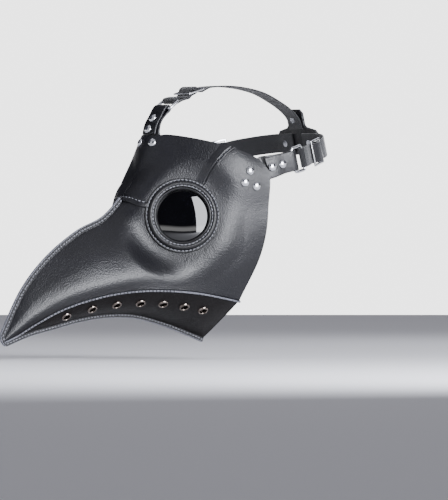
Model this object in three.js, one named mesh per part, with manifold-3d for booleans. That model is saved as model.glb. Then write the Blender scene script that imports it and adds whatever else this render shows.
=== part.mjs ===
// Plague doctor mask: a beaked face mask of stitched faux leather, with two round eyepieces, vent
// eyelets under the beak and an elastic head harness on three riveted tabs.
// Millimetres, +Z up. The beak points to -Y and the wearer's left is +X. The origin is level with the
// eyes, midway between the two temples, where the head sits in the mask.
import * as THREE from "three";
import { mergeVertices } from "three/addons/utils/BufferGeometryUtils.js";
import Module from "manifold-3d";

const wasm = await Module();
wasm.setup();

// ---- driving dimensions ----
const GAP = 0.3; // clearance between pieces that touch
const LEATHER = 2.4; // faux leather with its stiff lining
const RIDGE_FIN = 4; // how far the sewn edge stands up along the ridge of the beak
const KEEL_FIN = 3.5; // the same along the bottom of the beak
const LIP = 3; // the cheek panel's sewn edge along the mouth line
const FIN_THICK = 1.6;
const EYE_RADIUS = 37.4; // outer edge of the leather rim round each lens
const EYE_HOLE = 30; // hole in the panels behind the rim
const EYE_AZIMUTH = 55; // degrees that each lens looks outwards from straight ahead
const EYE_RISE = 7; // degrees that it looks up
const EYE_FLAT = 38.5; // the leather is flat as far as this round the lens
const EYE_BLEND = 64; // and follows the face again from here
const EYE_BLEND_BELOW = 70; // the same under the eye, where the leather falls in a longer slope
const EYELET_COUNT = 7; // vents on each side of the beak
const EYELET_HOLE = 3.4;
const EYELET_BARREL = 3.9;
const RIVET_SHANK = 1.5;
const TAB_THICK = 2;
const BAND_WIDTH = 20;
const BAND_THICK = 1.5;
const WIRE = 1.5; // radius of the wire in the rectangular loops
const LOOP_LENGTH = 13; // between the two bars of a loop
const SLIDER_AFTER_LOOP = 25;
const BELT_TILT = 14; // degrees that the side bands climb towards the back of the head
const BELT_START = new THREE.Vector3(0, -27, 42.7);
const BACK_PATCH_AT = 128.5; // from BELT_START to the back patch

const v3 = (x, y, z) => new THREE.Vector3(x, y, z);
const v2 = (x, y) => new THREE.Vector2(x, y);
const radians = THREE.MathUtils.degToRad;
const lerp = THREE.MathUtils.lerp;
const spline = (points) => new THREE.CatmullRomCurve3(points, false, "catmullrom", 0.5);

// ---- materials ----
const leather = new THREE.MeshStandardMaterial({ color: 0x1a1a1e, roughness: 0.5, metalness: 0 });
const lensPlastic = new THREE.MeshStandardMaterial({ color: 0x050506, roughness: 0.05, metalness: 0 });
const bezelPlastic = new THREE.MeshStandardMaterial({ color: 0x202024, roughness: 0.35, metalness: 0 });
const nickel = new THREE.MeshStandardMaterial({ color: 0xd8d8da, roughness: 0.15, metalness: 1 });
const gunmetal = new THREE.MeshStandardMaterial({ color: 0x8a7f78, roughness: 0.3, metalness: 1 });
const elastic = new THREE.MeshStandardMaterial({ color: 0x101012, roughness: 0.9, metalness: 0 });

// ---- solids ----
// A closed geometry as a manifold solid that faces outwards.
function solidOf(geometry) {
  const bare = new THREE.BufferGeometry();
  const flat = geometry.index ? geometry.toNonIndexed() : geometry;
  bare.setAttribute("position", flat.getAttribute("position").clone());
  const merged = mergeVertices(bare, 1e-4);
  const corners = merged.index.array;
  const kept = [];
  for (let i = 0; i < corners.length; i += 3) {
    const [a, b, c] = corners.slice(i, i + 3);
    if (a !== b && b !== c && a !== c) kept.push(a, b, c);
  }
  const build = (triVerts) => new wasm.Manifold(new wasm.Mesh({
    numProp: 3,
    vertProperties: new Float32Array(merged.attributes.position.array),
    triVerts: new Uint32Array(triVerts),
  }));
  const made = build(kept);
  if (made.volume() > 0) return made;
  for (let i = 0; i < kept.length; i += 3) [kept[i + 1], kept[i + 2]] = [kept[i + 2], kept[i + 1]];
  return build(kept);
}

// The biggest body of a solid as a geometry.
function geometryOf(solid) {
  const bodies = solid.decompose().sort((a, b) => b.volume() - a.volume());
  const mesh = bodies[0].getMesh();
  const geometry = new THREE.BufferGeometry();
  geometry.setAttribute("position", new THREE.BufferAttribute(new Float32Array(mesh.vertProperties), 3));
  geometry.setIndex(new THREE.BufferAttribute(new Uint32Array(mesh.triVerts), 1));
  return geometry;
}

// A solid through a row of rings, each a loop of the same number of points. The row has flat ends, or
// closes on itself.
function loft(rings, closed = false) {
  const n = rings[0].length;
  const index = [];
  const spans = closed ? rings.length : rings.length - 1;
  for (let i = 0; i < spans; i++)
    for (let k = 0; k < n; k++) {
      const here = i * n;
      const there = ((i + 1) % rings.length) * n;
      const next = (k + 1) % n;
      index.push(here + k, here + next, there + next, here + k, there + next, there + k);
    }
  const last = (rings.length - 1) * n;
  for (let k = 1; k < n - 1 && !closed; k++) index.push(0, k + 1, k, last, last + k, last + k + 1);
  return solidOf(new THREE.BufferGeometry().setFromPoints(rings.flat()).setIndex(index));
}

// A leather sheet between a grid of points on its outer face and the same grid on its inner face.
function sheet(outer, inner) {
  const rows = outer.length;
  const columns = outer[0].length;
  const at = (side, i, k) => side * rows * columns + i * columns + k;
  const index = [];
  const quad = (a, b, c, d) => index.push(a, b, c, a, c, d);
  for (let i = 0; i < rows - 1; i++)
    for (let k = 0; k < columns - 1; k++) {
      quad(at(0, i, k), at(0, i, k + 1), at(0, i + 1, k + 1), at(0, i + 1, k));
      quad(at(1, i, k), at(1, i + 1, k), at(1, i + 1, k + 1), at(1, i, k + 1));
    }
  for (let i = 0; i < rows - 1; i++) {
    const end = columns - 1;
    quad(at(0, i, 0), at(0, i + 1, 0), at(1, i + 1, 0), at(1, i, 0));
    quad(at(0, i, end), at(1, i, end), at(1, i + 1, end), at(0, i + 1, end));
  }
  for (let k = 0; k < columns - 1; k++) {
    const end = rows - 1;
    quad(at(0, 0, k), at(1, 0, k), at(1, 0, k + 1), at(0, 0, k + 1));
    quad(at(0, end, k), at(0, end, k + 1), at(1, end, k + 1), at(1, end, k));
  }
  return solidOf(new THREE.BufferGeometry().setFromPoints([...outer.flat(), ...inner.flat()])
    .setIndex(index));
}

// A lathed solid about the local Z axis, from a profile of [radius, height] pairs.
function turned(profile, segments) {
  const geometry = new THREE.LatheGeometry(profile.map(([r, z]) => v2(r, z)), segments);
  return solidOf(geometry.rotateX(Math.PI / 2));
}

// An outline in one of the two upright planes, extruded along the axis across it: "x" takes (y, z),
// "y" takes (x, z).
function prism(outline, axis, from, to) {
  const geometry = new THREE.ExtrudeGeometry(new THREE.Shape(outline.map(([a, b]) => v2(a, b))), {
    depth: to - from,
    bevelEnabled: false,
  });
  const turn = new THREE.Matrix4();
  if (axis === "x") turn.makeBasis(v3(0, 1, 0), v3(0, 0, 1), v3(1, 0, 0)).setPosition(from, 0, 0);
  else turn.makeBasis(v3(1, 0, 0), v3(0, 0, 1), v3(0, -1, 0)).setPosition(0, to, 0);
  return solidOf(geometry.applyMatrix4(turn));
}

const moved = (solid, matrix) => solid.transform(matrix.elements);
const mirrored = (solid) => solid.mirror([1, 0, 0]);
const mirroredPoint = (p) => v3(-p.x, p.y, p.z);

// Cuts a solid back from a neighbour that has been moved towards it, so that a gap stays between them.
const clearOf = (solid, neighbour, way) => solid.subtract(neighbour.translate(way));

// ---- the face, wearer's left half ----
// Each rib starts at the mouth line, goes up over the cheek and ends on the middle line: on the ridge
// of the beak, on
// the forehead, or above the mask's top edge. The first rib is the tip of the beak, the last runs up
// the rear edge.
const RIBS = [
  [[0.8, -272, -126], [1.7, -273, -123.6], [1.5, -273, -122.2], [0.8, -273, -120.6], [0, -273, -119]],
  [[9.5, -243, -107.6], [12, -243.8, -99], [10.2, -245, -90.6], [5.6, -246.5, -83], [0, -248, -75.5]],
  [[20, -213, -91.5], [22.8, -213, -79], [18.4, -214.5, -67.5], [10, -216, -56], [0, -218, -43.7]],
  [[31, -179, -80.3], [34, -178.5, -67], [27.8, -179, -50.5], [15, -180, -33.6], [0, -181, -18.5]],
  [[41, -145, -74.5], [44, -144, -59], [35.6, -144, -39.6], [20.4, -144.5, -20], [0, -145, -1.8]],
  [[50, -110, -73.6], [52, -109, -54], [41, -110, -24], [24, -111, 8], [0, -114.5, 31]],
  [[55, -74, -76], [60, -73, -50], [58, -72.5, -5], [46, -81, 45], [0, -93.5, 80]],
  [[57, -40, -81.2], [70, -38, -46], [76, -36, 2], [69, -45, 65], [0, -62, 118]],
  [[56, -22, -84.5], [76, -10, -38], [84, -7, 6], [78, -7, 62], [0, -12, 126]],
];
const SMOOTH_RIBS = 5; // from this rib back the middle line is round, before it the ridge is sharp
const BRIDGE = 0.565; // where the ridge of the beak ends
// The keel below each rib, as y, z and the outward bulge of the panel beside it.
const KEEL = [[-270, -125.6, 0], [-242, -116, 1.5], [-213, -109.5, 2.5], [-179, -102, 3.5],
  [-145, -98, 4.5],
  [-110, -98.6, 5], [-74, -106.5, 5], [-42, -116.5, 3.5], [-25, -122.5, 0.5]];

const eye = new THREE.Object3D();
eye.position.set(46.5, -86, 0);
{
  const [a, rise] = [radians(EYE_AZIMUTH), radians(EYE_RISE)];
  const out = v3(Math.sin(a) * Math.cos(rise), -Math.cos(a) * Math.cos(rise), Math.sin(rise));
  const back = v3(Math.cos(a), Math.sin(a), 0);
  eye.quaternion.setFromRotationMatrix(new THREE.Matrix4().makeBasis(back, out.clone().cross(back), out));
  eye.updateMatrixWorld(true);
}

// Eases a point of the face into the flat seat round the eye.
function settle(point) {
  const local = eye.worldToLocal(point.clone());
  const below = THREE.MathUtils.smoothstep(-local.y, 8, 36);
  const reach = lerp(EYE_BLEND, EYE_BLEND_BELOW, below);
  local.z *= THREE.MathUtils.smoothstep(Math.hypot(local.x, local.y), EYE_FLAT, reach);
  return eye.localToWorld(local);
}

// A rib's curve goes on past the middle line where the middle is round, so that it crosses it squarely.
const ribCurves = RIBS.map((rib, i) => {
  const points = rib.map((p) => v3(...p));
  const past = mirroredPoint(points[points.length - 2]);
  const sharp = points[points.length - 1].clone().multiplyScalar(2).sub(points[points.length - 2]);
  return { curve: spline([...points, i >= SMOOTH_RIBS ? past : sharp]),
    share: (rib.length - 1) / rib.length };
});
// A point of the face: s runs from the tip of the beak (0) to the rear edge (1), t from the mouth line
// up (0 to 1).
function face(s, t) {
  return settle(spline(ribCurves.map(({ curve, share }) => curve.getPoint(t * share))).getPoint(s));
}
const keelCurve = spline(KEEL.map(([y, z]) => v3(0, y, z)));
const bulgeCurve = spline(KEEL.map(([, , bulge]) => v3(bulge, 0, 0)));
// A point of the underside: t runs from the keel (0) to the mouth line (1).
function underside(s, t) {
  const keel = keelCurve.getPoint(s);
  const across = face(s, 0).sub(keel);
  const outward = v3(across.z, 0, -across.x).normalize();
  return keel.addScaledVector(across, t).addScaledVector(outward,
    bulgeCurve.getPoint(s).x * Math.sin(Math.PI * t));
}

// The outward normal of a surface.
function normalAt(surface, s, t) {
  const step = 1e-3;
  const clamp = (value) => Math.min(1, Math.max(0, value));
  const along = surface(clamp(s + step), t).sub(surface(clamp(s - step), t));
  const up = surface(s, clamp(t + step)).sub(surface(s, clamp(t - step)));
  return along.cross(up).normalize();
}

// The place on a surface nearest to a point, as { s, t, at, out }.
function nearest(surface, target) {
  let best = { s: 0.5, t: 0.5, distance: Infinity };
  for (let span = 0.5; span > 1e-4; span *= 0.4) {
    const centre = { ...best };
    for (let i = -6; i <= 6; i++)
      for (let k = -6; k <= 6; k++) {
        const s = Math.min(1, Math.max(0, centre.s + (span * i) / 6));
        const t = Math.min(1, Math.max(0, centre.t + (span * k) / 6));
        const distance = surface(s, t).distanceTo(target);
        if (distance < best.distance) best = { s, t, distance };
      }
  }
  return { ...best, at: surface(best.s, best.t), out: normalAt(surface, best.s, best.t) };
}

// Rows across the mask at which the panels and their sewn edges have points. The beak's tip is before
// the third.
const ROWS = [0, 0.04, ...Array.from({ length: 24 }, (_, i) => lerp(0.08, 1, i / 23))];
const rowsWithin = (s0, s1) => ROWS.filter((s) => s >= s0 - 1e-6 && s <= s1 + 1e-6);

// A leather panel over a stretch of a surface. A whole panel runs on over the middle line to the right
// half.
function panel(surface, [s0, s1], [t0, t1], stepsUp, whole = false) {
  const outer = [];
  const inner = [];
  for (const s of rowsWithin(s0, s1)) {
    const row = [];
    const back = [];
    for (let k = 0; k <= stepsUp; k++) {
      const t = lerp(t0, t1, k / stepsUp);
      const out = normalAt(surface, s, t);
      if (whole && k === stepsUp) out.setX(0).normalize();
      row.push(surface(s, t));
      back.push(surface(s, t).addScaledVector(out, -LEATHER));
    }
    const over = (points) => [...points, ...points.slice(0, -1).reverse().map(mirroredPoint)];
    outer.push(whole ? over(row) : row);
    inner.push(whole ? over(back) : back);
  }
  return sheet(outer, inner);
}

// The solid end of the beak, where the two sides of a surface lie too close for a sheet.
const tip = (surface, wallAt) => loft([0, 0.04, 0.08, 0.1]
  .map((s) => [...[0, 0.25, 0.5, 0.75, 1].map((t) => surface(s, t)), ...wallAt(s)]));

// A sewn edge standing out from a seam: places are { at, out, side } along it.
function fin(places, height, thick, depth) {
  return loft(places.map(({ at, out, side }) => [
    at.clone().addScaledVector(out, height),
    at.clone().addScaledVector(out, height).addScaledVector(side, thick),
    at.clone().addScaledVector(out, -depth).addScaledVector(side, thick),
    at.clone().addScaledVector(out, -depth),
  ]));
}
function middleFin(curveAt, s1, turn, height) {
  const places = [];
  for (const s of rowsWithin(0, s1)) {
    const along = curveAt(Math.min(1, s + 0.002)).sub(curveAt(Math.max(0, s - 0.002)));
    const out = v3(0, -along.z * turn, along.y * turn).normalize();
    places.push({ at: curveAt(s).setX(0), out, side: v3(1, 0, 0) });
  }
  return fin(places, height, FIN_THICK, 1.5);
}
function mouthLip() {
  const places = [];
  for (const s of ROWS) {
    const along = face(Math.min(1, s + 0.002), 0).sub(face(Math.max(0, s - 0.002), 0)).normalize();
    const out = normalAt(face, s, 0.02).add(normalAt(underside, s, 0.98)).normalize();
    const side = along.cross(out).normalize().negate();
    places.push({ at: face(s, 0).addScaledVector(side, -FIN_THICK / 2), out, side });
  }
  return fin(places, LIP, FIN_THICK, 1.2);
}

// ---- where the panels are cut ----
const topEdge = spline([[-130, 80], [-93, 80], [-83, 80.5], [-62, 75], [-38, 66.5], [-18, 57],
  [-7.5, 45], [-4, 33],
  [4, 20]].map(([y, z]) => v3(0, y, z)));
const aboveTop = prism([...topEdge.getPoints(32).map((p) => [p.y, p.z]), [60, 20], [60, 160],
  [-130, 160]], "x", -120, 120);
const browSeam = spline([[0, 14.5], [12, 12.4], [24, 8], [46.5, 2], [58.8, 36], [66.2, 51], [70.8, 66],
  [76, 80]]
  .map(([x, z]) => v3(x, 0, z)));
const browOutline = browSeam.getPoints(28).map((p) => [p.x, p.z]);
const brow = (grow) => prism([...browOutline.map(([x, z]) => [x + grow, z - grow]), [76, 140],
  [-1, 140], [-1, 14.5 - grow]],
  "y", -200, 0);
const leftOnly = prism([[-400, -200], [200, -200], [200, 200], [-400, 200]], "x", GAP / 2, 200);
// The hole for a lens, with room for the rim that lies on the leather and for the seat behind it.
const eyeHole = moved(turned([[0, -14], [36.5, -14], [36.5, -2.5], [EYE_HOLE, -2.5], [EYE_HOLE, 0],
  [38, 0], [38, 14],
  [0, 14]], 28), eye.matrixWorld);

// The turn that sets a piece on a surface, with its local Z along the outward normal.
function setting(at, out) {
  const turn = new THREE.Quaternion().setFromUnitVectors(v3(0, 0, 1), out);
  return new THREE.Matrix4().compose(at, turn, v3(1, 1, 1));
}
const drill = (place, radius) => moved(turned([[0, -9], [radius, -9], [radius, 9], [0, 9]], 8),
  setting(place.at, place.out));

// ---- hardware ----
// A domed rivet through leather of the given depth, its head lying on the outer face.
const rivetSolid = (depth) => turned([
  [0, GAP + 2.5], [2.9, GAP + 1.8], [4.3, GAP], [RIVET_SHANK, GAP], [RIVET_SHANK, -depth - GAP],
  [3.4, -depth - GAP], [3.4, -depth - GAP - 0.9], [0, -depth - GAP - 0.9],
], 8);
// The room that a rivet needs in the leather behind its head.
const rivetRoom = (depth) => turned([
  [0, 12], [RIVET_SHANK + GAP, 12], [RIVET_SHANK + GAP, -depth], [3.8, -depth], [3.8, -depth - 6],
    [0, -depth - 6],
], 8);
const lapDepth = LEATHER + GAP + TAB_THICK + 2.6;
const foldDepth = 5;
const eyeletDepth = LEATHER + 0.4;
const eyeletGeometry = geometryOf(turned([
  [EYELET_HOLE, -eyeletDepth - 1.1], [EYELET_HOLE, GAP + 0.9], [4.4, GAP + 1.3], [5.4, GAP],
  [EYELET_BARREL, GAP], [EYELET_BARREL, -eyeletDepth - GAP], [5.1, -eyeletDepth - GAP],
    [5.1, -eyeletDepth - 1.1],
  [EYELET_HOLE, -eyeletDepth - 1.1],
], 8));
const eyeletRoom = turned([
  [0, 3], [5.7, 3], [5.7, 0], [EYELET_BARREL + 0.45, 0], [EYELET_BARREL + 0.45, -eyeletDepth],
    [5.4, -eyeletDepth],
  [5.4, -eyeletDepth - 3], [0, -eyeletDepth - 3],
], 8);
const rimSolid = turned([[28.6, GAP], [EYE_RADIUS, GAP], [EYE_RADIUS, 1.4], [35, 2.8], [34, 4.6],
  [31.2, 5.5],
  [28.6, 4], [28.6, GAP]], 28);
const bezelSolid = turned([[25.9, -2.2], [28.3, -2.2], [28.3, 3.2], [27.4, 3.9], [25.9, 2.4],
  [25.9, -2.2]], 28);
const lensSolid = turned([[0, 2.2], [12, 1.7], [20, 0.7], [25.6, -0.6], [25.6, -2.2], [20, -1],
  [12, 0], [0, 0.5]], 28);
const seatSolid = turned([[23.5, -2.8], [36, -2.8], [36, -4.4], [23.5, -4.4], [23.5, -2.8]], 28);

// ---- belts: the line that a tab, loop, slider and band follow ----
// place(l, n, w) is l along the line, n outwards from it and w across it.
function belt(points, across) {
  const curve = spline(points);
  curve.arcLengthDivisions = 400;
  const length = curve.getLength();
  const frame = (l) => {
    const tangent = curve.getTangentAt(inside(l / length)).normalize();
    return { tangent, out: tangent.clone().cross(across).normalize() };
  };
  const inside = (u) => Math.min(1, Math.max(0, u));
  const place = (l, n, w) => curve.getPointAt(inside(l / length))
    .addScaledVector(frame(l).out, n)
    .addScaledVector(across, w);
  return { place, frame, length, across };
}

// A strap of the given width along a path of [l, n] pairs on a belt.
function strap(line, path, widthAt, thick, shiftAt = () => 0, slopeAt = () => 0) {
  return loft(path.map(([l, n], i) => {
    const [la, na] = path[Math.max(0, i - 1)];
    const [lb, nb] = path[Math.min(path.length - 1, i + 1)];
    const size = Math.hypot(lb - la, nb - na);
    const [dl, dn] = [(-(nb - na) / size) * (thick / 2), ((lb - la) / size) * (thick / 2)];
    const half = widthAt(i / (path.length - 1), l) / 2;
    const middle = shiftAt(i / (path.length - 1), l);
    const corners = [[1, 1], [1, -1], [-1, -1], [-1, 1]];
    return corners.map(([up, side]) => {
      const w = middle + half * side;
      return line.place(l + dl * up, n + dn * up - slopeAt(l) * w, w);
    });
  }));
}
const arc = (l, radius, steps) => Array.from({ length: steps + 1 }, (_, i) => {
  const turn = -Math.PI / 2 + (Math.PI * i) / steps;
  return [l + radius * Math.cos(turn), radius * Math.sin(turn)];
});

// The tab comes out from under the mask's edge, turns round the loop's bar and comes back over itself.
function tabSolid(line, edge, lapWidth, sink, lapShift, slope) {
  const under = -(LEATHER + GAP + sink + TAB_THICK / 2);
  const bar = edge + 32;
  const path = [
    [2, under], [edge * 0.35, under], [edge * 0.7, under], [edge - 1, under], [edge + 4, -2.7],
      [edge + 9, -1.9], [edge + 20, -1.75],
    [bar - 6, -2.25], ...arc(bar, WIRE + GAP + TAB_THICK / 2, 8), [bar - 6, 1.9], [edge + 20, 0.6],
      [edge + 9, 0.45],
    [edge + 4, -0.2], [edge + 1, -0.8],
  ];
  const last = path.length - 6;
  const width = (u, l) => (u * (path.length - 1) >= last ? BAND_WIDTH
    : lerp(lapWidth, BAND_WIDTH, THREE.MathUtils.smoothstep(l, edge * 0.6, bar)));
  const shift = (u, l) => (u * (path.length - 1) >= last ? 0
    : lapShift * (1 - THREE.MathUtils.smoothstep(l, edge - 14, edge)));
  const { smoothstep } = THREE.MathUtils;
  const slopeAt = (l) => slope * lerp(0.4, 1, smoothstep(l, 8, edge)) * (1 - smoothstep(l, edge + 2,
    edge + 22));
  return strap(line, path, width, TAB_THICK, shift, slopeAt);
}

// The rectangular wire loop between a tab and its band.
function loopSolid(line, bar) {
  const start = line.place(bar, 0, 0);
  const tangent = line.place(bar + LOOP_LENGTH, 0, 0).sub(start).normalize();
  const out = tangent.clone().cross(line.across);
  const halfWidth = BAND_WIDTH / 2 + 2.2;
  const corner = 2.5;
  const centres = [[LOOP_LENGTH, halfWidth], [LOOP_LENGTH, -halfWidth], [0, -halfWidth], [0, halfWidth]];
  const rings = [];
  centres.forEach(([l, w], quarter) => {
    for (let i = 0; i <= 2; i++) {
      const turn = Math.PI / 2 - (Math.PI / 2) * (quarter + i / 2);
      const radial = tangent.clone().multiplyScalar(Math.cos(turn))
        .addScaledVector(line.across, Math.sin(turn));
      const inset = [l - corner * Math.sign(l - 1), w - corner * Math.sign(w)];
      const centre = start.clone()
        .addScaledVector(tangent, inset[0])
        .addScaledVector(line.across, inset[1])
        .addScaledVector(radial, corner);
      rings.push(Array.from({ length: 8 }, (_, k) => centre.clone()
        .addScaledVector(radial, WIRE * Math.cos((k * Math.PI) / 4))
        .addScaledVector(out, WIRE * Math.sin((k * Math.PI) / 4))));
    }
  });
  return loft(rings, true);
}

// A frame at a place on a belt: X along it, Y across it and Z outwards.
function placeFrame(line, l) {
  const { tangent, out } = line.frame(l);
  const across = out.clone().cross(tangent);
  return new THREE.Matrix4().makeBasis(tangent, across, out).setPosition(line.place(l, 0, 0));
}

// The three-bar slider that takes up the band.
const SLIDER_HALF = 9; // from the middle bar to each outer bar
function sliderSolid() {
  const bar = 2;
  const window = SLIDER_HALF - bar;
  const block = (length, width, thick, x) => solidOf(new THREE.BoxGeometry(length, width,
    thick).translate(x, 0, 0));
  return [-SLIDER_HALF / 2, SLIDER_HALF / 2].reduce(
    (left, x) => left.subtract(block(window, BAND_WIDTH + 1.6, 9, x)),
    block(SLIDER_HALF * 2 + bar, BAND_WIDTH + 6, 1.6, 0),
  );
}

// The band starts sewn round the slider's middle bar, goes to the loop and back, through the slider
// and on to the end.
function bandSolid(line, farBar, slider, end) {
  const path = [
    [slider - 1, 1.95], [slider + 1, 1.95], [slider + 2.4, 1.3], [slider + 2.9, 0], [slider + 2.4, -1.3],
    [slider + 0.5, -2], [slider - 5, -2.8], [slider - SLIDER_HALF, -4.4], [slider - 13, -3.8],
      [farBar + 6, -3],
    ...arc(0, WIRE + GAP + BAND_THICK / 2, 6).map(([l, n]) => [farBar - l, n]),
    [farBar + 6, 0.8], [slider - 13, -1.6], [slider - SLIDER_HALF, -2.4], [slider - 6, 0],
      [slider - 3, 3.4],
    [slider - 1, 4], [slider + 1.6, 3.9], [slider + 5.9, 0.4], [slider + SLIDER_HALF, -2.4],
      [slider + 13, -1.6],
  ];
  const steps = 9;
  for (let i = 0; i <= steps; i++) path.push([lerp(slider + 20, end, i / steps), 0]);
  return strap(line, path, () => BAND_WIDTH - 0.6, BAND_THICK);
}

// ---- the three belts ----
const tilt = radians(BELT_TILT);
const beltAlong = v3(0, Math.cos(tilt), Math.sin(tilt));
const sideAcross = v3(0, -Math.sin(tilt), Math.cos(tilt));
const onBelt = (x, along) => BELT_START.clone().addScaledVector(beltAlong, along).setX(x);
const onFace = [-18, -6, 8, 20].map((along) => {
  const { at } = nearest(face, onBelt(80, along));
  return at.addScaledVector(sideAcross, -at.clone().sub(BELT_START).dot(sideAcross));
});
const round = [[86.5, 38], [86.5, 60], [82, 82], [70, 104], [52, 120], [34, 128], [18, BACK_PATCH_AT],
  [6, BACK_PATCH_AT]];
const sideBelt = belt([...onFace, ...round.map(([x, along]) => onBelt(x, along))], sideAcross);
const overHead = [[-84, 98], [-62, 116], [-30, 127], [6, 129.5], [42, 124.5], [68, 114], [84.5, 104]];
const patchCentre = onBelt(0, BACK_PATCH_AT);
const crownBelt = belt([
  ...[[-101, 56], [-97, 68], [-93.3, 80]].map(([y, z]) => nearest(face, v3(0, y, z)).at.setX(0)),
  ...overHead.map(([y, z]) => v3(0, y, z)),
  ...[22, 12].map((w) => patchCentre.clone().addScaledVector(sideAcross, w)),
], v3(-1, 0, 0));


const SIDE_EDGE = 36; // where each belt comes out from under the mask's edge
const CROWN_EDGE = 26;
const BAR_AFTER_EDGE = 32;

// ---- assembly ----
const mask = new THREE.Group();
function add(name, geometry, material, matrix = new THREE.Matrix4()) {
  const mesh = new THREE.Mesh(geometry, material);
  mesh.name = name;
  mesh.applyMatrix4(matrix);
  mask.add(mesh);
  return mesh;
}
const mirror = (place) => ({ at: mirroredPoint(place.at), out: mirroredPoint(place.out) });
const sides = [["left", (place) => place, (solid) => solid], ["right", mirror, mirrored]];

// Where the fasteners and vents go, on the left half.
const templeRivets = [[-27.4, 44.3], [-33, 32.9], [-20.3, 29.4]]
  .map(([y, z]) => nearest(face, v3(79, y, z)));
const foreheadRivet = nearest(face, v3(10, -96, 73));
const eyelets = Array.from({ length: EYELET_COUNT }, (_, i) => {
  const s = 0.82 - 0.078 * i - 0.002 * i * i;
  const t = 0.65 - 0.0035 * i * i;
  return { at: underside(s, t), out: normalAt(underside, s, t) };
});

// The shell, in left halves.
const cheekWall = (s) => [face(s, 1).setX(0), face(s, 0).setX(0)];
const underWall = (s) => [face(s, 0).setX(0), keelCurve.getPoint(s)];
const openings = (solid) => templeRivets.reduce((left, place) => left
  .subtract(drill(place, RIVET_SHANK + GAP)), solid);
const cheek = openings(panel(face, [0.08, 1], [0, 1], 8)
  .add(tip(face, cheekWall))
  .add(middleFin((s) => face(s, 1), BRIDGE + 0.02, 1, RIDGE_FIN))
  .add(mouthLip())
  .subtract(brow(GAP))
  .subtract(aboveTop)
  .subtract(eyeHole)
  .intersect(leftOnly));
const forehead = (() => {
  const uncut = panel(face, [0.5, 0.96], [0.3, 1], 9, true).subtract(aboveTop).subtract(eyeHole)
    .subtract(mirrored(eyeHole));
  const outline = brow(0);
  const whole = uncut.intersect(outline.add(mirrored(outline)));
  return [foreheadRivet, mirror(foreheadRivet)].reduce((left, place) => left
    .subtract(drill(place, RIVET_SHANK + GAP)), whole);
})();
const under = eyelets.reduce(
  (left, place) => left.subtract(moved(eyeletRoom, setting(place.at, place.out))),
  clearOf(
    panel(underside, [0.08, 1], [0, 0.985], 3)
      .add(tip(underside, underWall))
      .add(middleFin((s) => keelCurve.getPoint(s), 1, -1, KEEL_FIN))
      .intersect(leftOnly),
    cheek,
    [-GAP, 0, -GAP],
  ),
);
add("forehead_panel", geometryOf(forehead), leather);
sides.forEach(([side, at, solid]) => {
  add(`cheek_panel_${side}`, geometryOf(solid(cheek)), leather);
  add(`under_panel_${side}`, geometryOf(solid(under)), leather);
  const set = (piece) => geometryOf(solid(moved(piece, eye.matrixWorld)));
  add(`eye_rim_${side}`, set(rimSolid), leather);
  add(`lens_bezel_${side}`, set(bezelSolid), bezelPlastic);
  add(`lens_${side}`, set(lensSolid), lensPlastic);
  add(`lens_seat_${side}`, set(seatSolid), leather);
  eyelets.map(at).forEach((place, i) => {
    add(`eyelet_${side}_${i + 1}`, eyeletGeometry, gunmetal, setting(place.at, place.out));
  });
  const lap = geometryOf(rivetSolid(lapDepth));
  templeRivets.map(at).forEach((place, i) => {
    add(`temple_rivet_${side}_${i + 1}`, lap, nickel, setting(place.at, place.out));
  });
  const brow_ = at(foreheadRivet);
  add(`forehead_rivet_${side}`, lap, nickel, setting(brow_.at, brow_.out));
});

// The harness.
const belts = [
  ["left", sideBelt, SIDE_EDGE, templeRivets, cheek, [[0, 0, 0], [-GAP, GAP, 0]], 25, 1.9, -6, 0.2],
  ["top", crownBelt, CROWN_EDGE, [foreheadRivet, mirror(foreheadRivet)], forehead,
    [[0, 0, 0], [0, GAP, -GAP / 2]], 28, 1.9, 0, 0],
];
const PATCH_THICK = 2.4;
const patchFrame = (x, w, n) => new THREE.Matrix4().makeBasis(v3(-1, 0, 0), sideAcross, beltAlong)
  .setPosition(patchCentre.clone().addScaledVector(sideAcross, w).addScaledVector(beltAlong, n).setX(x));
const patchFace = BAND_THICK / 2 + GAP + PATCH_THICK;
const patchRivets = { left: [19, 0], right: [-19, 0], top: [0, 24] };
const patchDepth = PATCH_THICK + GAP + BAND_THICK + 0.3;
const patchRoom = (side) => moved(rivetRoom(patchDepth), patchFrame(...patchRivets[side], patchFace));
const halfPatch = [[32, -8], [28, -12.5], [0, -12.5], [0, 34], [8.5, 34], [12.5, 30], [12.5, 18],
  [15, 15.5], [28, 12.5], [32, 8]];
const patchOutline = [...halfPatch.slice(0, 2), ...halfPatch.slice(0, 2).reverse()
  .map(([x, y]) => [-x, y]),
  ...halfPatch.slice(4).reverse().map(([x, y]) => [-x, y]), ...halfPatch.slice(4)];
const patchShape = new THREE.Shape(patchOutline.map(([x, y]) => v2(x, y)));
const patchSolid = ["left", "right", "top"].reduce(
  (left, side) => left.subtract(patchRoom(side)),
  moved(solidOf(new THREE.ExtrudeGeometry(patchShape, { depth: PATCH_THICK, bevelEnabled: false })),
    patchFrame(0, 0, patchFace - PATCH_THICK)),
);
add("back_patch", geometryOf(patchSolid), leather);
Object.entries(patchRivets).forEach(([side, [x, w]]) => {
  add(`patch_rivet_${side}`, geometryOf(rivetSolid(patchDepth)), nickel, patchFrame(x, w, patchFace));
});
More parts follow.
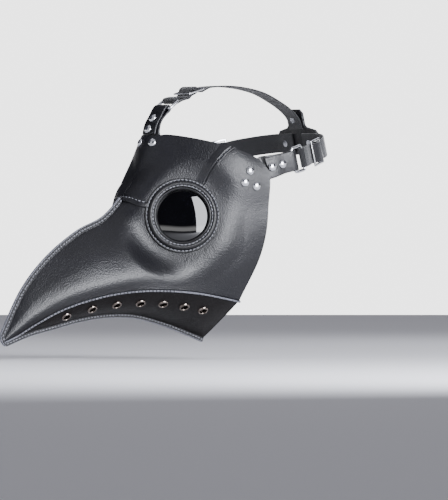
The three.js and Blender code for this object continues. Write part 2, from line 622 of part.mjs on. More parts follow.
belts.forEach(([name, line, edge, lapRivets, neighbour, ways, lapWidth, sink, lapShift, slope]) => {
  const bar = edge + BAR_AFTER_EDGE;
  const slider = bar + LOOP_LENGTH + SLIDER_AFTER_LOOP;
  const foldRivets = [edge + 5, edge + 17].map((l) => ({ at: line.place(l, 1.75, 0),
    out: line.frame(l).out }));
  let tab = ways.reduce((left, way) => clearOf(left, neighbour, way),
    tabSolid(line, edge, lapWidth, sink, lapShift, slope));
  const fasten = (room) => ({ at, out }) => {
    tab = tab.subtract(moved(room, setting(at, out)));
  };
  lapRivets.forEach(fasten(rivetRoom(lapDepth)));
  foldRivets.forEach(fasten(rivetRoom(foldDepth)));
  const end = line.length - 2;
  const pieces = [
    ["tab", tab, leather],
    ["loop", loopSolid(line, bar), nickel],
    ["slider", moved(sliderSolid(), placeFrame(line, slider)), nickel],
    ["band", bandSolid(line, bar + LOOP_LENGTH, slider, end).subtract(patchRoom(name)), elastic],
  ];
  const both = name === "left" ? sides : [["top", (place) => place, (solid) => solid]];
  both.forEach(([side, at, solid]) => {
    pieces.forEach(([piece, made, material]) => add(`${piece}_${side}`, geometryOf(solid(made)),
      material));
    foldRivets.map(at).forEach((place, i) => {
      add(`tab_rivet_${side}_${i + 1}`, geometryOf(rivetSolid(foldDepth)), nickel,
        setting(place.at, place.out));
    });
  });
});

export default mask;
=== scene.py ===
"""Plague doctor mask: the looks of a beaked mask of stitched faux leather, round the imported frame."""

import math

import bpy
import numpy as np
from mathutils import Matrix, Vector


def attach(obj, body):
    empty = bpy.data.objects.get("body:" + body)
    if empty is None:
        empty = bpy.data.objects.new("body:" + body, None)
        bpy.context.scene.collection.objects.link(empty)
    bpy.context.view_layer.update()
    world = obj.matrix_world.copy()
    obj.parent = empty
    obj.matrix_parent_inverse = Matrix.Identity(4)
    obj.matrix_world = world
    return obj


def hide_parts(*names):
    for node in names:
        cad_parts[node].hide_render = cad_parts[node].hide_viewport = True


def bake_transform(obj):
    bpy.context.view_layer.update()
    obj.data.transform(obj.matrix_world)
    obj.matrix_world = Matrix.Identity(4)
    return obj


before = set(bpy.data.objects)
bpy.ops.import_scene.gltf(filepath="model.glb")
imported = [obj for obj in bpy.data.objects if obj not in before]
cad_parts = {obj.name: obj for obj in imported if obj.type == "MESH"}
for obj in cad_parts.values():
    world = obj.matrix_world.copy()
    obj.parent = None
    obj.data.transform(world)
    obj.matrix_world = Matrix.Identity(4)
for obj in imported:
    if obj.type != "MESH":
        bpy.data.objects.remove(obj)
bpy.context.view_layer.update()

bl_info = {
    "name": "Plague Doctor Mask",
    "version": (1, 0, 0),
    "blender": (4, 5, 0),
    "location": "View3D > Sidebar > Mask",
    "description": "Models a beaked mask of stitched faux leather and its stage",
    "category": "Object",
}

MM = 0.001
SIDES = {"left": 1.0, "right": -1.0}

# ---- the face, wearer's left half, in millimetres: the same ribs as the frame's solids ----
RIBS = np.array([
    [[0.8, -272, -126], [1.7, -273, -123.6], [1.5, -273, -122.2], [0.8, -273, -120.6], [0, -273, -119]],
    [[9.5, -243, -107.6], [12, -243.8, -99], [10.2, -245, -90.6], [5.6, -246.5, -83], [0, -248, -75.5]],
    [[20, -213, -91.5], [22.8, -213, -79], [18.4, -214.5, -67.5], [10, -216, -56], [0, -218, -43.7]],
    [[31, -179, -80.3], [34, -178.5, -67], [27.8, -179, -50.5], [15, -180, -33.6], [0, -181, -18.5]],
    [[41, -145, -74.5], [44, -144, -59], [35.6, -144, -39.6], [20.4, -144.5, -20], [0, -145, -1.8]],
    [[50, -110, -73.6], [52, -109, -54], [41, -110, -24], [24, -111, 8], [0, -114.5, 31]],
    [[55, -74, -76], [60, -73, -50], [58, -72.5, -5], [46, -81, 45], [0, -93.5, 80]],
    [[57, -40, -81.2], [70, -38, -46], [76, -36, 2], [69, -45, 65], [0, -62, 118]],
    [[56, -22, -84.5], [76, -10, -38], [84, -7, 6], [78, -7, 62], [0, -12, 126]],
])
SMOOTH_RIBS = 5
BRIDGE = 0.565
KEEL = np.array([[-270, -125.6, 0], [-242, -116, 1.5], [-213, -109.5, 2.5], [-179, -102, 3.5],
                 [-145, -98, 4.5],
                 [-110, -98.6, 5], [-74, -106.5, 5], [-42, -116.5, 3.5], [-25, -122.5, 0.5]])
EYE_CENTRE = np.array([46.5, -86.0, 0.0])
EYE_AZIMUTH, EYE_RISE = 55.0, 7.0
EYE_FLAT, EYE_BLEND, EYE_BLEND_BELOW = 38.5, 64.0, 70.0
LEATHER = 2.4
EYE_HOLE, EYE_NEAR, RIM_CLEAR = 31.5, 60.0, 38.0
VENT_HOLE, VENT_NEAR, VENTS = 4.2, 9.0, 7
SEAM_STEP, EDGE_INSET = 0.002, 0.002
TOP_EDGE = np.array([[-130, 80], [-93, 80], [-83, 80.5], [-62, 75], [-38, 66.5], [-18, 57], [-7.5, 45],
                     [-4, 33], [4, 20]])
BROW_SEAM = np.array([[0, 14.5], [12, 12.4], [24, 8], [46.5, 2], [58.8, 36], [66.2, 51], [70.8, 66],
                      [76, 80]])


def catmull(points, u):
    """Points of a uniform Catmull-Rom curve through points (n, ...) at each u from 0 to 1."""
    u = np.atleast_1d(np.asarray(u, float))
    points = np.asarray(points, float)
    ends = np.concatenate([2 * points[:1] - points[1:2], points, 2 * points[-1:] - points[-2:-1]])
    n = len(points) - 1
    k = np.clip(np.floor(u * n).astype(int), 0, n - 1)
    w = u * n - k
    if points.ndim > 2:  # one set of control points for each u
        pick = np.arange(len(u))
        p = [ends[k + j, pick] for j in range(4)]
    else:
        p = [ends[k + j] for j in range(4)]
    w = w.reshape(-1, *([1] * (p[0].ndim - 1)))
    t0, t1 = (p[2] - p[0]) / 2, (p[3] - p[1]) / 2
    return (2 * p[1] - 2 * p[2] + t0 + t1) * w**3 + (-3 * p[1] + 3 * p[2] - 2 * t0
                                                     - t1) * w**2 + t0 * w + p[1]


def smoothstep(x, low, high):
    x = np.clip((np.asarray(x, float) - low) / (high - low), 0, 1)
    return x * x * (3 - 2 * x)


def eye_axes():
    """Back, up and outward directions of the left eye's own frame."""
    a, rise = math.radians(EYE_AZIMUTH), math.radians(EYE_RISE)
    out = np.array([math.sin(a) * math.cos(rise), -math.cos(a) * math.cos(rise), math.sin(rise)])
    back = np.array([math.cos(a), math.sin(a), 0.0])
    return back, np.cross(out, back), out


def rib_points():
    past = []
    for i, rib in enumerate(RIBS):
        before = rib[-2]
        past.append(before * [-1, 1, 1] if i >= SMOOTH_RIBS else 2 * rib[-1] - before)
    return np.concatenate([RIBS, np.array(past)[:, None]], axis=1).transpose(1, 0, 2)


RIB_POINTS = rib_points()


def face(s, t):
    """Points of the face: s runs from the beak's tip to the rear edge, t from the mouth line up."""
    s, t = np.broadcast_arrays(np.atleast_1d(s).astype(float), np.atleast_1d(t).astype(float))
    across = catmull(RIB_POINTS.reshape(6, 1, -1).repeat(len(t), 1), t * 0.8).reshape(len(t), len(RIBS), 3)
    p = catmull(across.transpose(1, 0, 2), s)
    back, up, out = eye_axes()
    d = p - EYE_CENTRE
    reach = EYE_BLEND + (EYE_BLEND_BELOW - EYE_BLEND) * smoothstep(-(d @ up), 8, 36)
    radius = np.hypot(d @ back, d @ up)
    return p - np.outer((d @ out) * (1 - smoothstep(radius, EYE_FLAT, reach)), out)


def keel(s):
    k = catmull(KEEL, s)
    return np.stack([np.zeros(len(k)), k[:, 0], k[:, 1]], 1)


def underside(s, t):
    """Points of the underside: t runs from the keel to the mouth line."""
    s, t = np.broadcast_arrays(np.atleast_1d(s).astype(float), np.atleast_1d(t).astype(float))
    low = keel(s)
    across = face(s, np.zeros(len(s))) - low
    out = np.stack([across[:, 2], np.zeros(len(s)), -across[:, 0]], 1)
    out /= np.linalg.norm(out, axis=1, keepdims=True)
    bulge = catmull(KEEL, s)[:, 2] * np.sin(np.pi * t)
    return low + across * t[:, None] + out * bulge[:, None]


def unit(v):
    return v / np.linalg.norm(v, axis=-1, keepdims=True)


def lengths_along(points):
    """The distance from the first point to each point of a line."""
    return np.concatenate([[0], np.cumsum(np.linalg.norm(np.diff(points, axis=0), axis=1))])


def eye_radius(points):
    """How far points on the left half lie from the axis of the lens."""
    back, up, _ = eye_axes()
    d = points - EYE_CENTRE
    return np.hypot(d @ back, d @ up)


def normals(surface, s, t):
    s, t = np.broadcast_arrays(np.atleast_1d(s).astype(float), np.atleast_1d(t).astype(float))
    step = 1e-3
    along = surface(np.clip(s + step, 0, 1), t) - surface(np.clip(s - step, 0, 1), t)
    up = surface(s, np.clip(t + step, 0, 1)) - surface(s, np.clip(t - step, 0, 1))
    return unit(np.cross(along, up))


def nearest(surface, target, weights=(1, 1, 1), start=(0.5, 0.5), reach=0.5):
    """(s, t) of the place on a surface nearest to a point, each axis counted by its weight."""
    best, span = np.array(start, float), reach
    steps = np.linspace(-1, 1, 13)
    while span > 1e-4:
        s = np.clip(best[0] + span * np.repeat(steps, 13), 0, 1)
        t = np.clip(best[1] + span * np.tile(steps, 13), 0, 1)
        gaps = (((surface(s, t) - target) * weights) ** 2).sum(1)
        best = np.array([s[gaps.argmin()], t[gaps.argmin()]])
        span *= 0.4
    return best


# ---- meshes ----
def clear_selection():
    bpy.ops.object.select_all(action="DESELECT")


def pick(piece):
    clear_selection()
    piece.select_set(True)
    bpy.context.view_layer.objects.active = piece


def edit(piece, *steps, select=True):
    """Runs steps on a piece's mesh in edit mode, on the whole of it unless select is off."""
    bpy.context.view_layer.objects.active = piece
    bpy.ops.object.mode_set(mode="EDIT")
    if select:
        bpy.ops.mesh.select_all(action="SELECT")
    for step, settings in steps:
        step(**settings)
    bpy.ops.object.mode_set(mode="OBJECT")


def grid_piece(name, points, close_rows=False, close_columns=False):
    """A grid primitive whose vertices are set to points (rows, columns, 3), in millimetres."""
    points = np.asarray(points, float)
    if close_rows:
        points = np.concatenate([points, points[:1]])
    if close_columns:
        points = np.concatenate([points, points[:, :1]], axis=1)
    rows, columns = points.shape[:2]
    clear_selection()
    bpy.ops.mesh.primitive_grid_add(x_subdivisions=columns - 1, y_subdivisions=rows - 1, size=1)
    piece = bpy.context.object
    piece.name = name
    piece.data.vertices.foreach_set("co", (points * MM).astype(np.float32).ravel())
    tidy_mesh(piece)
    return piece


def tidy_mesh(piece):
    """Merges doubles and turns the faces outwards."""
    edit(piece, (bpy.ops.mesh.remove_doubles, {"threshold": 1e-6}),
         (bpy.ops.mesh.dissolve_degenerate, {"threshold": 1e-7}),
         (bpy.ops.mesh.normals_make_consistent, {"inside": False}))


def join(name, pieces):
    clear_selection()
    for piece in pieces:
        piece.select_set(True)
    bpy.context.view_layer.objects.active = pieces[0]
    if len(pieces) > 1:
        bpy.ops.object.join()
    pieces[0].name = name
    return pieces[0]


def apply_modifier(piece, kind, **settings):
    bpy.context.view_layer.objects.active = piece
    modifier = piece.modifiers.new(kind.title(), kind)
    for key, value in settings.items():
        setattr(modifier, key, value)
    bpy.ops.object.modifier_apply(modifier=modifier.name)


def finish_piece(piece, materials, body, replaced=(), smooth=35):
    """Gives a piece its materials and body, and hides the solids it stands for."""
    for name in [materials] if isinstance(materials, str) else materials:
        if name not in [m.name for m in piece.data.materials if m]:
            piece.data.materials.append(material_named(name))
    pick(piece)
    bpy.ops.object.shade_smooth_by_angle(angle=math.radians(smooth))
    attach(piece, body)
    if replaced:
        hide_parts(*replaced)
    return piece


def mirror_x(points, sign):
    return np.asarray(points, float) * [sign, 1, 1]


def hide_faces(piece, keep):
    """Deletes the faces whose middles (in millimetres) the test doesn't keep."""
    count = len(piece.data.polygons)
    middles = np.empty(count * 3)
    piece.data.polygons.foreach_get("center", middles)
    drop = ~keep(middles.reshape(-1, 3) / MM)
    for kind in (piece.data.vertices, piece.data.edges):
        kind.foreach_set("select", np.zeros(len(kind), bool))
    piece.data.polygons.foreach_set("select", drop)
    edit(piece, (bpy.ops.mesh.select_mode, {"type": "FACE"}), (bpy.ops.mesh.delete, {"type": "FACE"}),
         select=False)


def leather_wall(piece, thick):
    """Gives a leather panel its thickness, lined inside and with its cut edge in a pale colour that paints a
    highlight along it.
    """
    apply_modifier(piece, "SOLIDIFY", thickness=thick * MM, offset=-1, use_even_offset=False,
                   material_offset=1, material_offset_rim=2)


def outside_eyes(middles):
    """Keeps the faces that don't lie over a lens."""
    kept = np.ones(len(middles), bool)
    for sign in SIDES.values():
        here = middles * [sign, 1, 1]
        near = np.linalg.norm(here - EYE_CENTRE, axis=1) < EYE_NEAR
        kept &= ~(near & (eye_radius(here) < EYE_HOLE))
    return kept


def lofted(name, rings, closed=False):
    """A solid through rings of points, with closed ends."""
    rings = np.asarray(rings, float)
    if not closed:
        first, last = rings[0].mean(0), rings[-1].mean(0)
        rings = np.concatenate([[np.repeat(first[None], rings.shape[1], 0)], rings,
                                [np.repeat(last[None], rings.shape[1], 0)]])
    return grid_piece(name, rings, close_rows=closed, close_columns=True)


def turned(name, profile, segments, place):
    """A solid of revolution. Profile gives radius and height; place is (centre, side, up, out)."""
    centre, side, up, out = place
    turns = np.linspace(0, 2 * np.pi, segments, endpoint=False)
    rings = [[centre + out * z + r * (side * math.cos(a) + up * math.sin(a)) for r,
              z in profile] for a in turns]
    return grid_piece(name, rings, close_rows=True)


def frame_at(centre, out):
    """A right-angled frame at a place, with its last axis outwards."""
    out = unit(np.asarray(out, float))
    side = unit(np.cross(np.array([0.0, 0.0, 1.0]) if abs(out[2]) < 0.9 else np.array([0.0, 1.0, 0.0]), out))
    return np.asarray(centre, float), side, np.cross(out, side), out


def along_line(points, spacing):
    """Evenly spaced places along a line of points, as fractional indices into it."""
    lengths = lengths_along(points)
    count = max(2, int(lengths[-1] / spacing))
    return np.interp((np.arange(count) + 0.5) * lengths[-1] / count, lengths, np.arange(len(points)))


def sample(rows, at):
    rows = np.asarray(rows, float)
    low = np.clip(np.floor(at).astype(int), 0, len(rows) - 2)
    w = (at - low)[:, None]
    return rows[low] * (1 - w) + rows[low + 1] * w


def stitch_shape():
    """One thread stitch: a small stretched ball, 1 long and 1 thick, as corners and faces."""
    clear_selection()
    bpy.ops.mesh.primitive_uv_sphere_add(segments=6, ring_count=5, radius=0.5)
    ball = bpy.context.object
    corners = np.array([v.co for v in ball.data.vertices])
    faces = [tuple(f.vertices) for f in ball.data.polygons]
    bpy.data.objects.remove(ball)
    return np.sign(corners) * np.abs(corners) ** [1, 1, 0.8] * [1, 1, 0.5**0.2], faces


def stitches(name, points, outs, sink=0.1, slant=0.0):
    """A row of thread stitches that lie along a line of points, each bowed a little out of the leather."""
    spacing, length, thick = (stitch(size) for size in ("spacing", "length", "thickness"))
    corners, faces = stitch_shape()
    at = along_line(points, spacing)
    places = sample(points, at)
    ahead = unit(sample(points, np.minimum(at + 0.4, len(points) - 1))
                 - sample(points, np.maximum(at - 0.4, 0)))
    side = unit(np.cross(ahead, sample(outs, at)))
    out = np.cross(side, ahead)
    ahead, side = (ahead * math.cos(slant) + side * math.sin(slant),
                   side * math.cos(slant) - ahead * math.sin(slant))
    rise = corners[:, 1] * thick + 0.3 * (1 - 4 * corners[:, 2] ** 2) - sink
    made = (places[:, None] + ahead[:, None] * (corners[:, 2] * length)[:, None]
            + side[:, None] * (corners[:, 0] * thick)[:, None] + out[:, None] * rise[:, None])
    mesh = bpy.data.meshes.new(name)
    every = [tuple(i + k * len(corners) for i in f) for k in range(len(places)) for f in faces]
    mesh.from_pydata((made.reshape(-1, 3) * MM).tolist(), [], every)
    piece = bpy.data.objects.new(name, mesh)
    bpy.context.scene.collection.objects.link(piece)
    edit(piece, (bpy.ops.mesh.normals_make_consistent, {"inside": False}))
    return piece


# ---- materials ----
def srgb(code):
    """A "#rrggbb" colour as linear red, green, blue and alpha."""
    parts = [int(code[i:i + 2], 16) / 255 for i in (1, 3, 5)]
    return (*[c / 12.92 if c <= 0.04045 else ((c + 0.055) / 1.055) ** 2.4 for c in parts], 1.0)


def add_node(material, kind, links=(), inputs=None, stops=None, **settings):
    """A node with its settings. Links are (from node, its output, this node's input); stops colour a ramp."""
    made = material.node_tree.nodes.new(f"ShaderNode{kind}")
    for key, value in settings.items():
        setattr(made, key, value)
    for key, value in (inputs or {}).items():
        made.inputs[key].default_value = value
    for i, (place, colour) in enumerate(stops or ()):
        elements = made.color_ramp.elements
        element = elements[i] if i < len(elements) else elements.new(place)
        element.position = place
        element.color = colour
    for source, output, socket in links:
        material.node_tree.links.new(source.outputs[output], made.inputs[socket])
    return made


def surface_of(name, links, **values):
    """Closes a material: its textures go into one shader, which also takes plain values."""
    material = bpy.data.materials[name]
    shader = material.node_tree.nodes["Principled BSDF"]
    for key, value in values.items():
        shader.inputs[key.replace("_", " ")].default_value = value
    for source, output, socket in links:
        material.node_tree.links.new(source.outputs[output], shader.inputs[socket])
    return material


def bare(name):
    material = bpy.data.materials.new(name)
    material.use_nodes = True
    return material, [(add_node(material, "TexCoord"), "Object", "Vector")]


def coated_leather(name, dark, light, rough, grain_mm, grain, crease, shine=0.55):
    """PU-coated leather: embossed pebble grain breaks up a satin coat, and soft creases bend the light."""
    material, place = bare(name)
    pebbles = add_node(material, "TexVoronoi", place,
                       {"Scale": 1000 / grain_mm, "Smoothness": 0.6}, feature="SMOOTH_F1")
    pores = add_node(material, "TexNoise", place,
                     {"Scale": 450 / grain_mm, "Detail": 4.0, "Roughness": 0.65})
    creases = add_node(material, "TexNoise", place,
                       {"Scale": 42.0, "Detail": 4.0, "Roughness": 0.5, "Distortion": 0.5})
    cloud = add_node(material, "TexNoise", place,
                     {"Scale": 18.0, "Detail": 3.0, "Roughness": 0.5})
    colour = add_node(material, "ValToRGB", [(cloud, "Fac", "Fac")],
                      stops=[(0.3, srgb(dark)), (0.7, srgb(light))])
    gloss = add_node(material, "MapRange", [(pores, "Fac", "Value")],
                     {"To Min": rough - 0.07, "To Max": rough + 0.09})
    fine = add_node(material, "Bump", [(pebbles, "Distance", "Height")],
                    {"Strength": grain, "Distance": 0.0003})
    finer = add_node(material, "Bump", [(pores, "Fac", "Height"), (fine, "Normal", "Normal")],
                     {"Strength": grain * 0.9, "Distance": 0.0003})
    soft = add_node(material, "Bump", [(creases, "Fac", "Height"), (finer, "Normal", "Normal")],
                    {"Strength": crease, "Distance": 0.002})
    return surface_of(name, [(colour, "Color", "Base Color"), (gloss, "Result", "Roughness"),
                             (soft, "Normal", "Normal")],
                      IOR=1.5, Specular_IOR_Level=shine)


def cut_edge(name):
    """The cut edge of the leather: fibre board in mid to pale grey, the pale tone a painted highlight along
    the lip, ridge and hem edges.
    """
    material, place = bare(name)
    fibre = add_node(material, "TexNoise", place, {"Scale": 700.0, "Detail": 4.0})
    colour = add_node(material, "ValToRGB", [(fibre, "Fac", "Fac")],
                      stops=[(0.3, srgb("#4c4d55")), (0.7, srgb("#8e8f99"))])
    bump = add_node(material, "Bump", [(fibre, "Fac", "Height")], {"Strength": 0.5, "Distance": 0.0004})
    return surface_of(name, [(colour, "Color", "Base Color"), (bump, "Normal", "Normal")], Roughness=0.55)


def felt(name):
    """Brushed polyester felt bonded to the leather's back: matte, with a fine nap and a faint sheen."""
    material, place = bare(name)
    nap = add_node(material, "TexNoise", place,
                   {"Scale": 900.0, "Detail": 6.0, "Roughness": 0.75})
    cloud = add_node(material, "TexNoise", place, {"Scale": 60.0, "Detail": 3.0})
    colour = add_node(material, "ValToRGB", [(cloud, "Fac", "Fac")],
                      stops=[(0.35, srgb("#1c1c1f")), (0.7, srgb("#2b2b30"))])
    bump = add_node(material, "Bump", [(nap, "Fac", "Height")], {"Strength": 0.8, "Distance": 0.0005})
    return surface_of(name, [(colour, "Color", "Base Color"), (bump, "Normal", "Normal")],
                      Roughness=0.95, Sheen_Weight=0.5, Specular_IOR_Level=0.2)


def nylon_thread(name, dark, light):
    """Bonded nylon thread: two plies twisted together, drawn at 0.5 mm a turn so that the twist shows."""
    material, place = bare(name)
    twist = add_node(material, "TexWave", place,
                     {"Scale": 650.0, "Distortion": 1.0}, bands_direction="DIAGONAL")
    colour = add_node(material, "ValToRGB", [(twist, "Fac", "Fac")],
                      stops=[(0.2, srgb(dark)), (0.9, srgb(light))])
    bump = add_node(material, "Bump", [(twist, "Fac", "Height")], {"Strength": 0.5, "Distance": 0.0002})
    return surface_of(name, [(colour, "Color", "Base Color"), (bump, "Normal", "Normal")],
                      Roughness=0.6, Sheen_Weight=0.2)


def plated_steel(name, colour, stain, rough):
    """Plated steel: bright, with faint tarnish in patches and a fine polishing haze."""
    material, place = bare(name)
    haze = add_node(material, "TexNoise", place, {"Scale": 380.0, "Detail": 5.0})
    tone = add_node(material, "ValToRGB", [(haze, "Fac", "Fac")],
                    stops=[(0.35, srgb(stain)), (0.6, srgb(colour))])
    gloss = add_node(material, "MapRange", [(haze, "Fac", "Value")],
                     {"To Min": rough + 0.1, "To Max": rough})
    return surface_of(name, [(tone, "Color", "Base Color"), (gloss, "Result", "Roughness")], Metallic=1.0)


def moulded_plastic(name, dark, light, rough, ior, coat):
    """Moulded plastic: smooth, with a very slight ripple left by the mould."""
    material, place = bare(name)
    ripple = add_node(material, "TexNoise", place, {"Scale": 90.0, "Detail": 2.0})
    tone = add_node(material, "ValToRGB", [(ripple, "Fac", "Fac")],
                    stops=[(0.3, srgb(dark)), (0.7, srgb(light))])
    bump = add_node(material, "Bump", [(ripple, "Fac", "Height")], {"Strength": 0.03, "Distance": 0.0004})
    return surface_of(name, [(tone, "Color", "Base Color"), (bump, "Normal", "Normal")],
                      Roughness=rough, IOR=ior, Coat_Weight=coat, Coat_Roughness=0.03)


def woven_elastic(name):
    """Woven elastic: ribs along the band, crossed by rows of covered rubber; matte black polyester."""
    material, _ = bare(name)
    place = add_node(material, "UVMap", uv_map="UVMap")
    ribs = add_node(material, "TexWave", [(place, "UV", "Vector")], {"Scale": 380.0}, bands_direction="X")
    rows = add_node(material, "TexWave", [(place, "UV", "Vector")], {"Scale": 300.0, "Distortion": 0.6},
                    bands_direction="Y")
    weave = add_node(material, "Math", [(ribs, "Fac", 0), (rows, "Fac", 1)], operation="MULTIPLY")
    tone = add_node(material, "ValToRGB", [(weave, "Value", "Fac")],
                    stops=[(0.0, srgb("#0c0c0e")), (1.0, srgb("#2e2e33"))])
    bump = add_node(material, "Bump", [(weave, "Value", "Height")], {"Strength": 0.7, "Distance": 0.0004})
    return surface_of(name, [(tone, "Color", "Base Color"), (bump, "Normal", "Normal")],
                      Roughness=0.85, Sheen_Weight=0.35, Specular_IOR_Level=0.3)


FINISHES = {
    "charcoal_pu_leather": (coated_leather, "#07070b", "#0d0d13", 0.37, 1.15, 0.75, 0.25),
    "black_pu_leather": (coated_leather, "#070709", "#0c0c10", 0.4, 1.1, 0.6, 0.5),
    # underside leather: a faint brown tint, and little shine so the underside stays dark, a painted shade
    "brown_black_pu_leather": (coated_leather, "#070404", "#0c0808", 0.48, 1.2, 0.6, 0.3, 0.2),
    # pale cut edge: its light grey is a painted highlight along the leather's edges
    "painted_cut_edge": (cut_edge,),
    "felt_lining": (felt,),
    "black_nylon_thread": (nylon_thread, "#030304", "#141417"),
    # grey thread, made pale so the stitch rows read as light dashes: thread colour and a painted glint
    "grey_nylon_thread": (nylon_thread, "#3a3b42", "#9a9ba3"),
    "bright_nickel_plate": (plated_steel, "#e6e7ea", "#c4c6cb", 0.12),
    "gunmetal_plate": (plated_steel, "#8f857e", "#5a514b", 0.16),
    "satin_black_abs": (moulded_plastic, "#0e0e10", "#141416", 0.3, 1.5, 0.2),
    "smoked_acrylic": (moulded_plastic, "#010102", "#020203", 0.03, 1.49, 0.25),
    "woven_elastic": (woven_elastic,),
}
LEATHERS = ("charcoal_pu_leather", "felt_lining", "painted_cut_edge")


def material_named(name):
    found = bpy.data.materials.get(name)
    if found:
        return found
    make, *values = FINISHES[name]
    return make(name, *values)


# ---- where the panels end ----
BROW_LINE = catmull(BROW_SEAM, np.linspace(0, 1, 300))
TOP_LINE = catmull(TOP_EDGE, np.linspace(0, 1, 300))


def above_brow(p, shift=0.0):
    x = np.abs(p[:, 0]) + shift
    z = np.interp(x, BROW_LINE[:, 0], BROW_LINE[:, 1]) + np.maximum(x - BROW_LINE[-1, 0], 0) * 2.4
    return p[:, 2] - z - shift * 0.7


def above_top(p):
    return p[:, 2] - np.interp(p[:, 1], TOP_LINE[:, 0], TOP_LINE[:, 1])


def first_crossing(s_values, test):
    """For each s, the lowest t at which the test turns positive, or 1."""
    t = np.linspace(0, 1, 401)
    found = []
    for s in s_values:
        f = test(face(np.full(len(t), s), t))
        k = int((f > 0).argmax())
        found.append(1.0 if f[k] <= 0 else t[k] if k == 0 else t[k] - (t[k] - t[k - 1]) * f[k]
                     / (f[k] - f[k - 1]))
    return np.array(found)


def spaced(pairs, count):
    """A line of (s, t) pairs again, evenly spaced over the face."""
    places = face(pairs[:, 0], pairs[:, 1])
    at = lengths_along(places)
    want = np.linspace(0, at[-1], count)
    return np.stack([np.interp(want, at, pairs[:, 0]), np.interp(want, at, pairs[:, 1])], 1)


def forehead_bounds(count):
    """The brow seam and the upper boundary of the forehead's left half, as evenly spaced (s, t) pairs."""
    s = np.linspace(BRIDGE, 0.97, 500)
    brow = first_crossing(s, above_brow)
    top = first_crossing(s, above_top)
    top[s < 0.7] = 1.0
    end = int((brow > top).argmax()) or len(s)
    brow[0] = 1.0
    seam = np.stack([s[:end], np.minimum(brow, top)[:end]], 1)
    upper = np.stack([s[:end], top[:end]], 1)
    upper[-1] = seam[-1]
    return spaced(seam, count), spaced(upper, count)


# ---- the shell ----
HEM = np.array([[0, 1.2], [0.3, 1.6], [0.8, 1.9], [2.5, 2.0], [4.4, 1.7], [5.4, 0.6], [6.4, 0.6], [7.6, 1.1],
                [10, 0.9],
                [22, 0.0]])
HEM_STATIONS = [0, 0.2, 0.4, 0.7, 1, 1.7, 2.5, 3.6, 4.6, 5.1, 5.6, 6.0, 6.4, 7, 7.8, 9, 11]


def fin_layer(name, at, out, side, near, far, height, depth):
    """One layer of leather standing out along a seam, with a rounded upper edge in the pale cut-edge colour,
    a painted highlight.
    """
    lean = (far - near) * 0.22
    rings = []
    for p, o, w, h in zip(at, out, side, np.broadcast_to(height, len(at))):
        section = [(near, -depth), (near, h - 0.45), (near + lean, h - 0.08), ((near + far) / 2, h),
                   (far - lean, h - 0.08), (far, h - 0.45), (far, -depth)]
        rings.append([p + w * sw + o * sh for sw, sh in section])
    piece = lofted(name, rings)
    for material in ("charcoal_pu_leather", "painted_cut_edge"):
        piece.data.materials.append(material_named(material))
    around = piece.data.uv_layers[0].data
    for polygon in piece.data.polygons:
        middle = sum(around[k].uv[0] for k in polygon.loop_indices) / polygon.loop_total * 7
        # the fin's top gets the pale edge colour: a painted highlight along its edge
        polygon.material_index = 1 if 1 < middle < 5 else 0
    return piece


def beak_edge():
    """The line of the standing edge: down the ridge, round the beak's tip and back along the keel."""
    up = middle_line(ridge, np.linspace(BRIDGE + 0.008, 0, 150), -1)
    down = middle_line(keel, np.linspace(0, 1, 150), -1)
    up[1][:] = [o if o[2] > 0 else -o for o in up[1]]
    turns = np.linspace(0, 1, 10)[1:-1]
    first, last = (math.atan2(o[2], -o[1]) for o in (up[1][-1], down[1][0]))
    angles = first + (last - first) * turns
    out = np.stack([np.zeros(8), -np.cos(angles), np.sin(angles)], 1)
    at = up[0][-1] * (1 - turns[:, None]) + down[0][0] * turns[:, None]
    height = np.concatenate([np.full(150, 4.0), np.full(8, 3.75), np.full(150, 3.5)])
    side = np.tile([1.0, 0, 0], (308, 1))
    return np.concatenate([up[0], at, down[0]]), np.concatenate([up[1], out, down[1]]), side, height


def middle_line(curve, s_values, turn):
    ahead = unit(curve(np.minimum(s_values + SEAM_STEP, 1)) - curve(np.maximum(s_values - SEAM_STEP, 0)))
    out = unit(np.stack([np.zeros(len(ahead)), -ahead[:, 2] * turn, ahead[:, 1] * turn], 1))
    at = curve(s_values) * [0, 1, 1]
    return at, out, np.tile([1.0, 0, 0], (len(at), 1))


def ridge(s):
    return face(s, np.ones(len(np.atleast_1d(s))))


def mouth_line(s_values):
    zero = np.zeros(len(s_values))
    at = face(s_values, zero)
    ahead = unit(face(np.minimum(s_values + SEAM_STEP, 1), zero)
                 - face(np.maximum(s_values - SEAM_STEP, 0), zero))
    out = unit(normals(face, s_values, zero + 0.02) + normals(underside, s_values, zero + 0.98))
    return at, out, -unit(np.cross(ahead, out))


def mirrored_all(sign, *rows):
    return [mirror_x(row, sign) for row in rows]


def cheek_piece(side, sign, thick):
    s = np.linspace(0, 1, 230)
    top = np.minimum(first_crossing(s, lambda p: above_brow(p, 3.0)), first_crossing(s, above_top))
    top[s < BRIDGE] = 1.0
    v = np.linspace(0, 1, 64)
    rows = face(np.repeat(s, len(v)), np.outer(top, v).ravel()).reshape(len(s), len(v), 3)
    panel = grid_piece(f"cheek_leather_{side}", mirror_x(rows, sign))
    hide_faces(panel, outside_eyes)
    face_outwards(panel)
    leather_wall(panel, thick)
    return panel


def face_outwards(panel):
    """Turns an open panel's faces away from the inside of the mask."""
    count = len(panel.data.polygons)
    normal, middle = np.empty(count * 3), np.empty(count * 3)
    panel.data.polygons.foreach_get("normal", normal)
    panel.data.polygons.foreach_get("center", middle)
    away = middle.reshape(-1, 3) / MM
    away[:, 1] = 0
    if (normal.reshape(-1, 3) * (away - [0, 0, -40])).sum() < 0:
        edit(panel, (bpy.ops.mesh.flip_normals, {}))


def forehead_normals(s, t, points):
    """Outward directions over the forehead, kept in the middle plane where the two halves meet."""
    inside = [np.clip(v, EDGE_INSET, 1 - EDGE_INSET) for v in (s, t)]
    out = normals(face, *inside)
    out[:, 0] *= smoothstep(points[:, 0], 0, 3)
    return unit(out)


def hem_width(line):
    """The hem's width along the brow seam, as a share of its width over the bridge."""
    return 1 - 0.5 * smoothstep(line[:, 0], 34, 54)


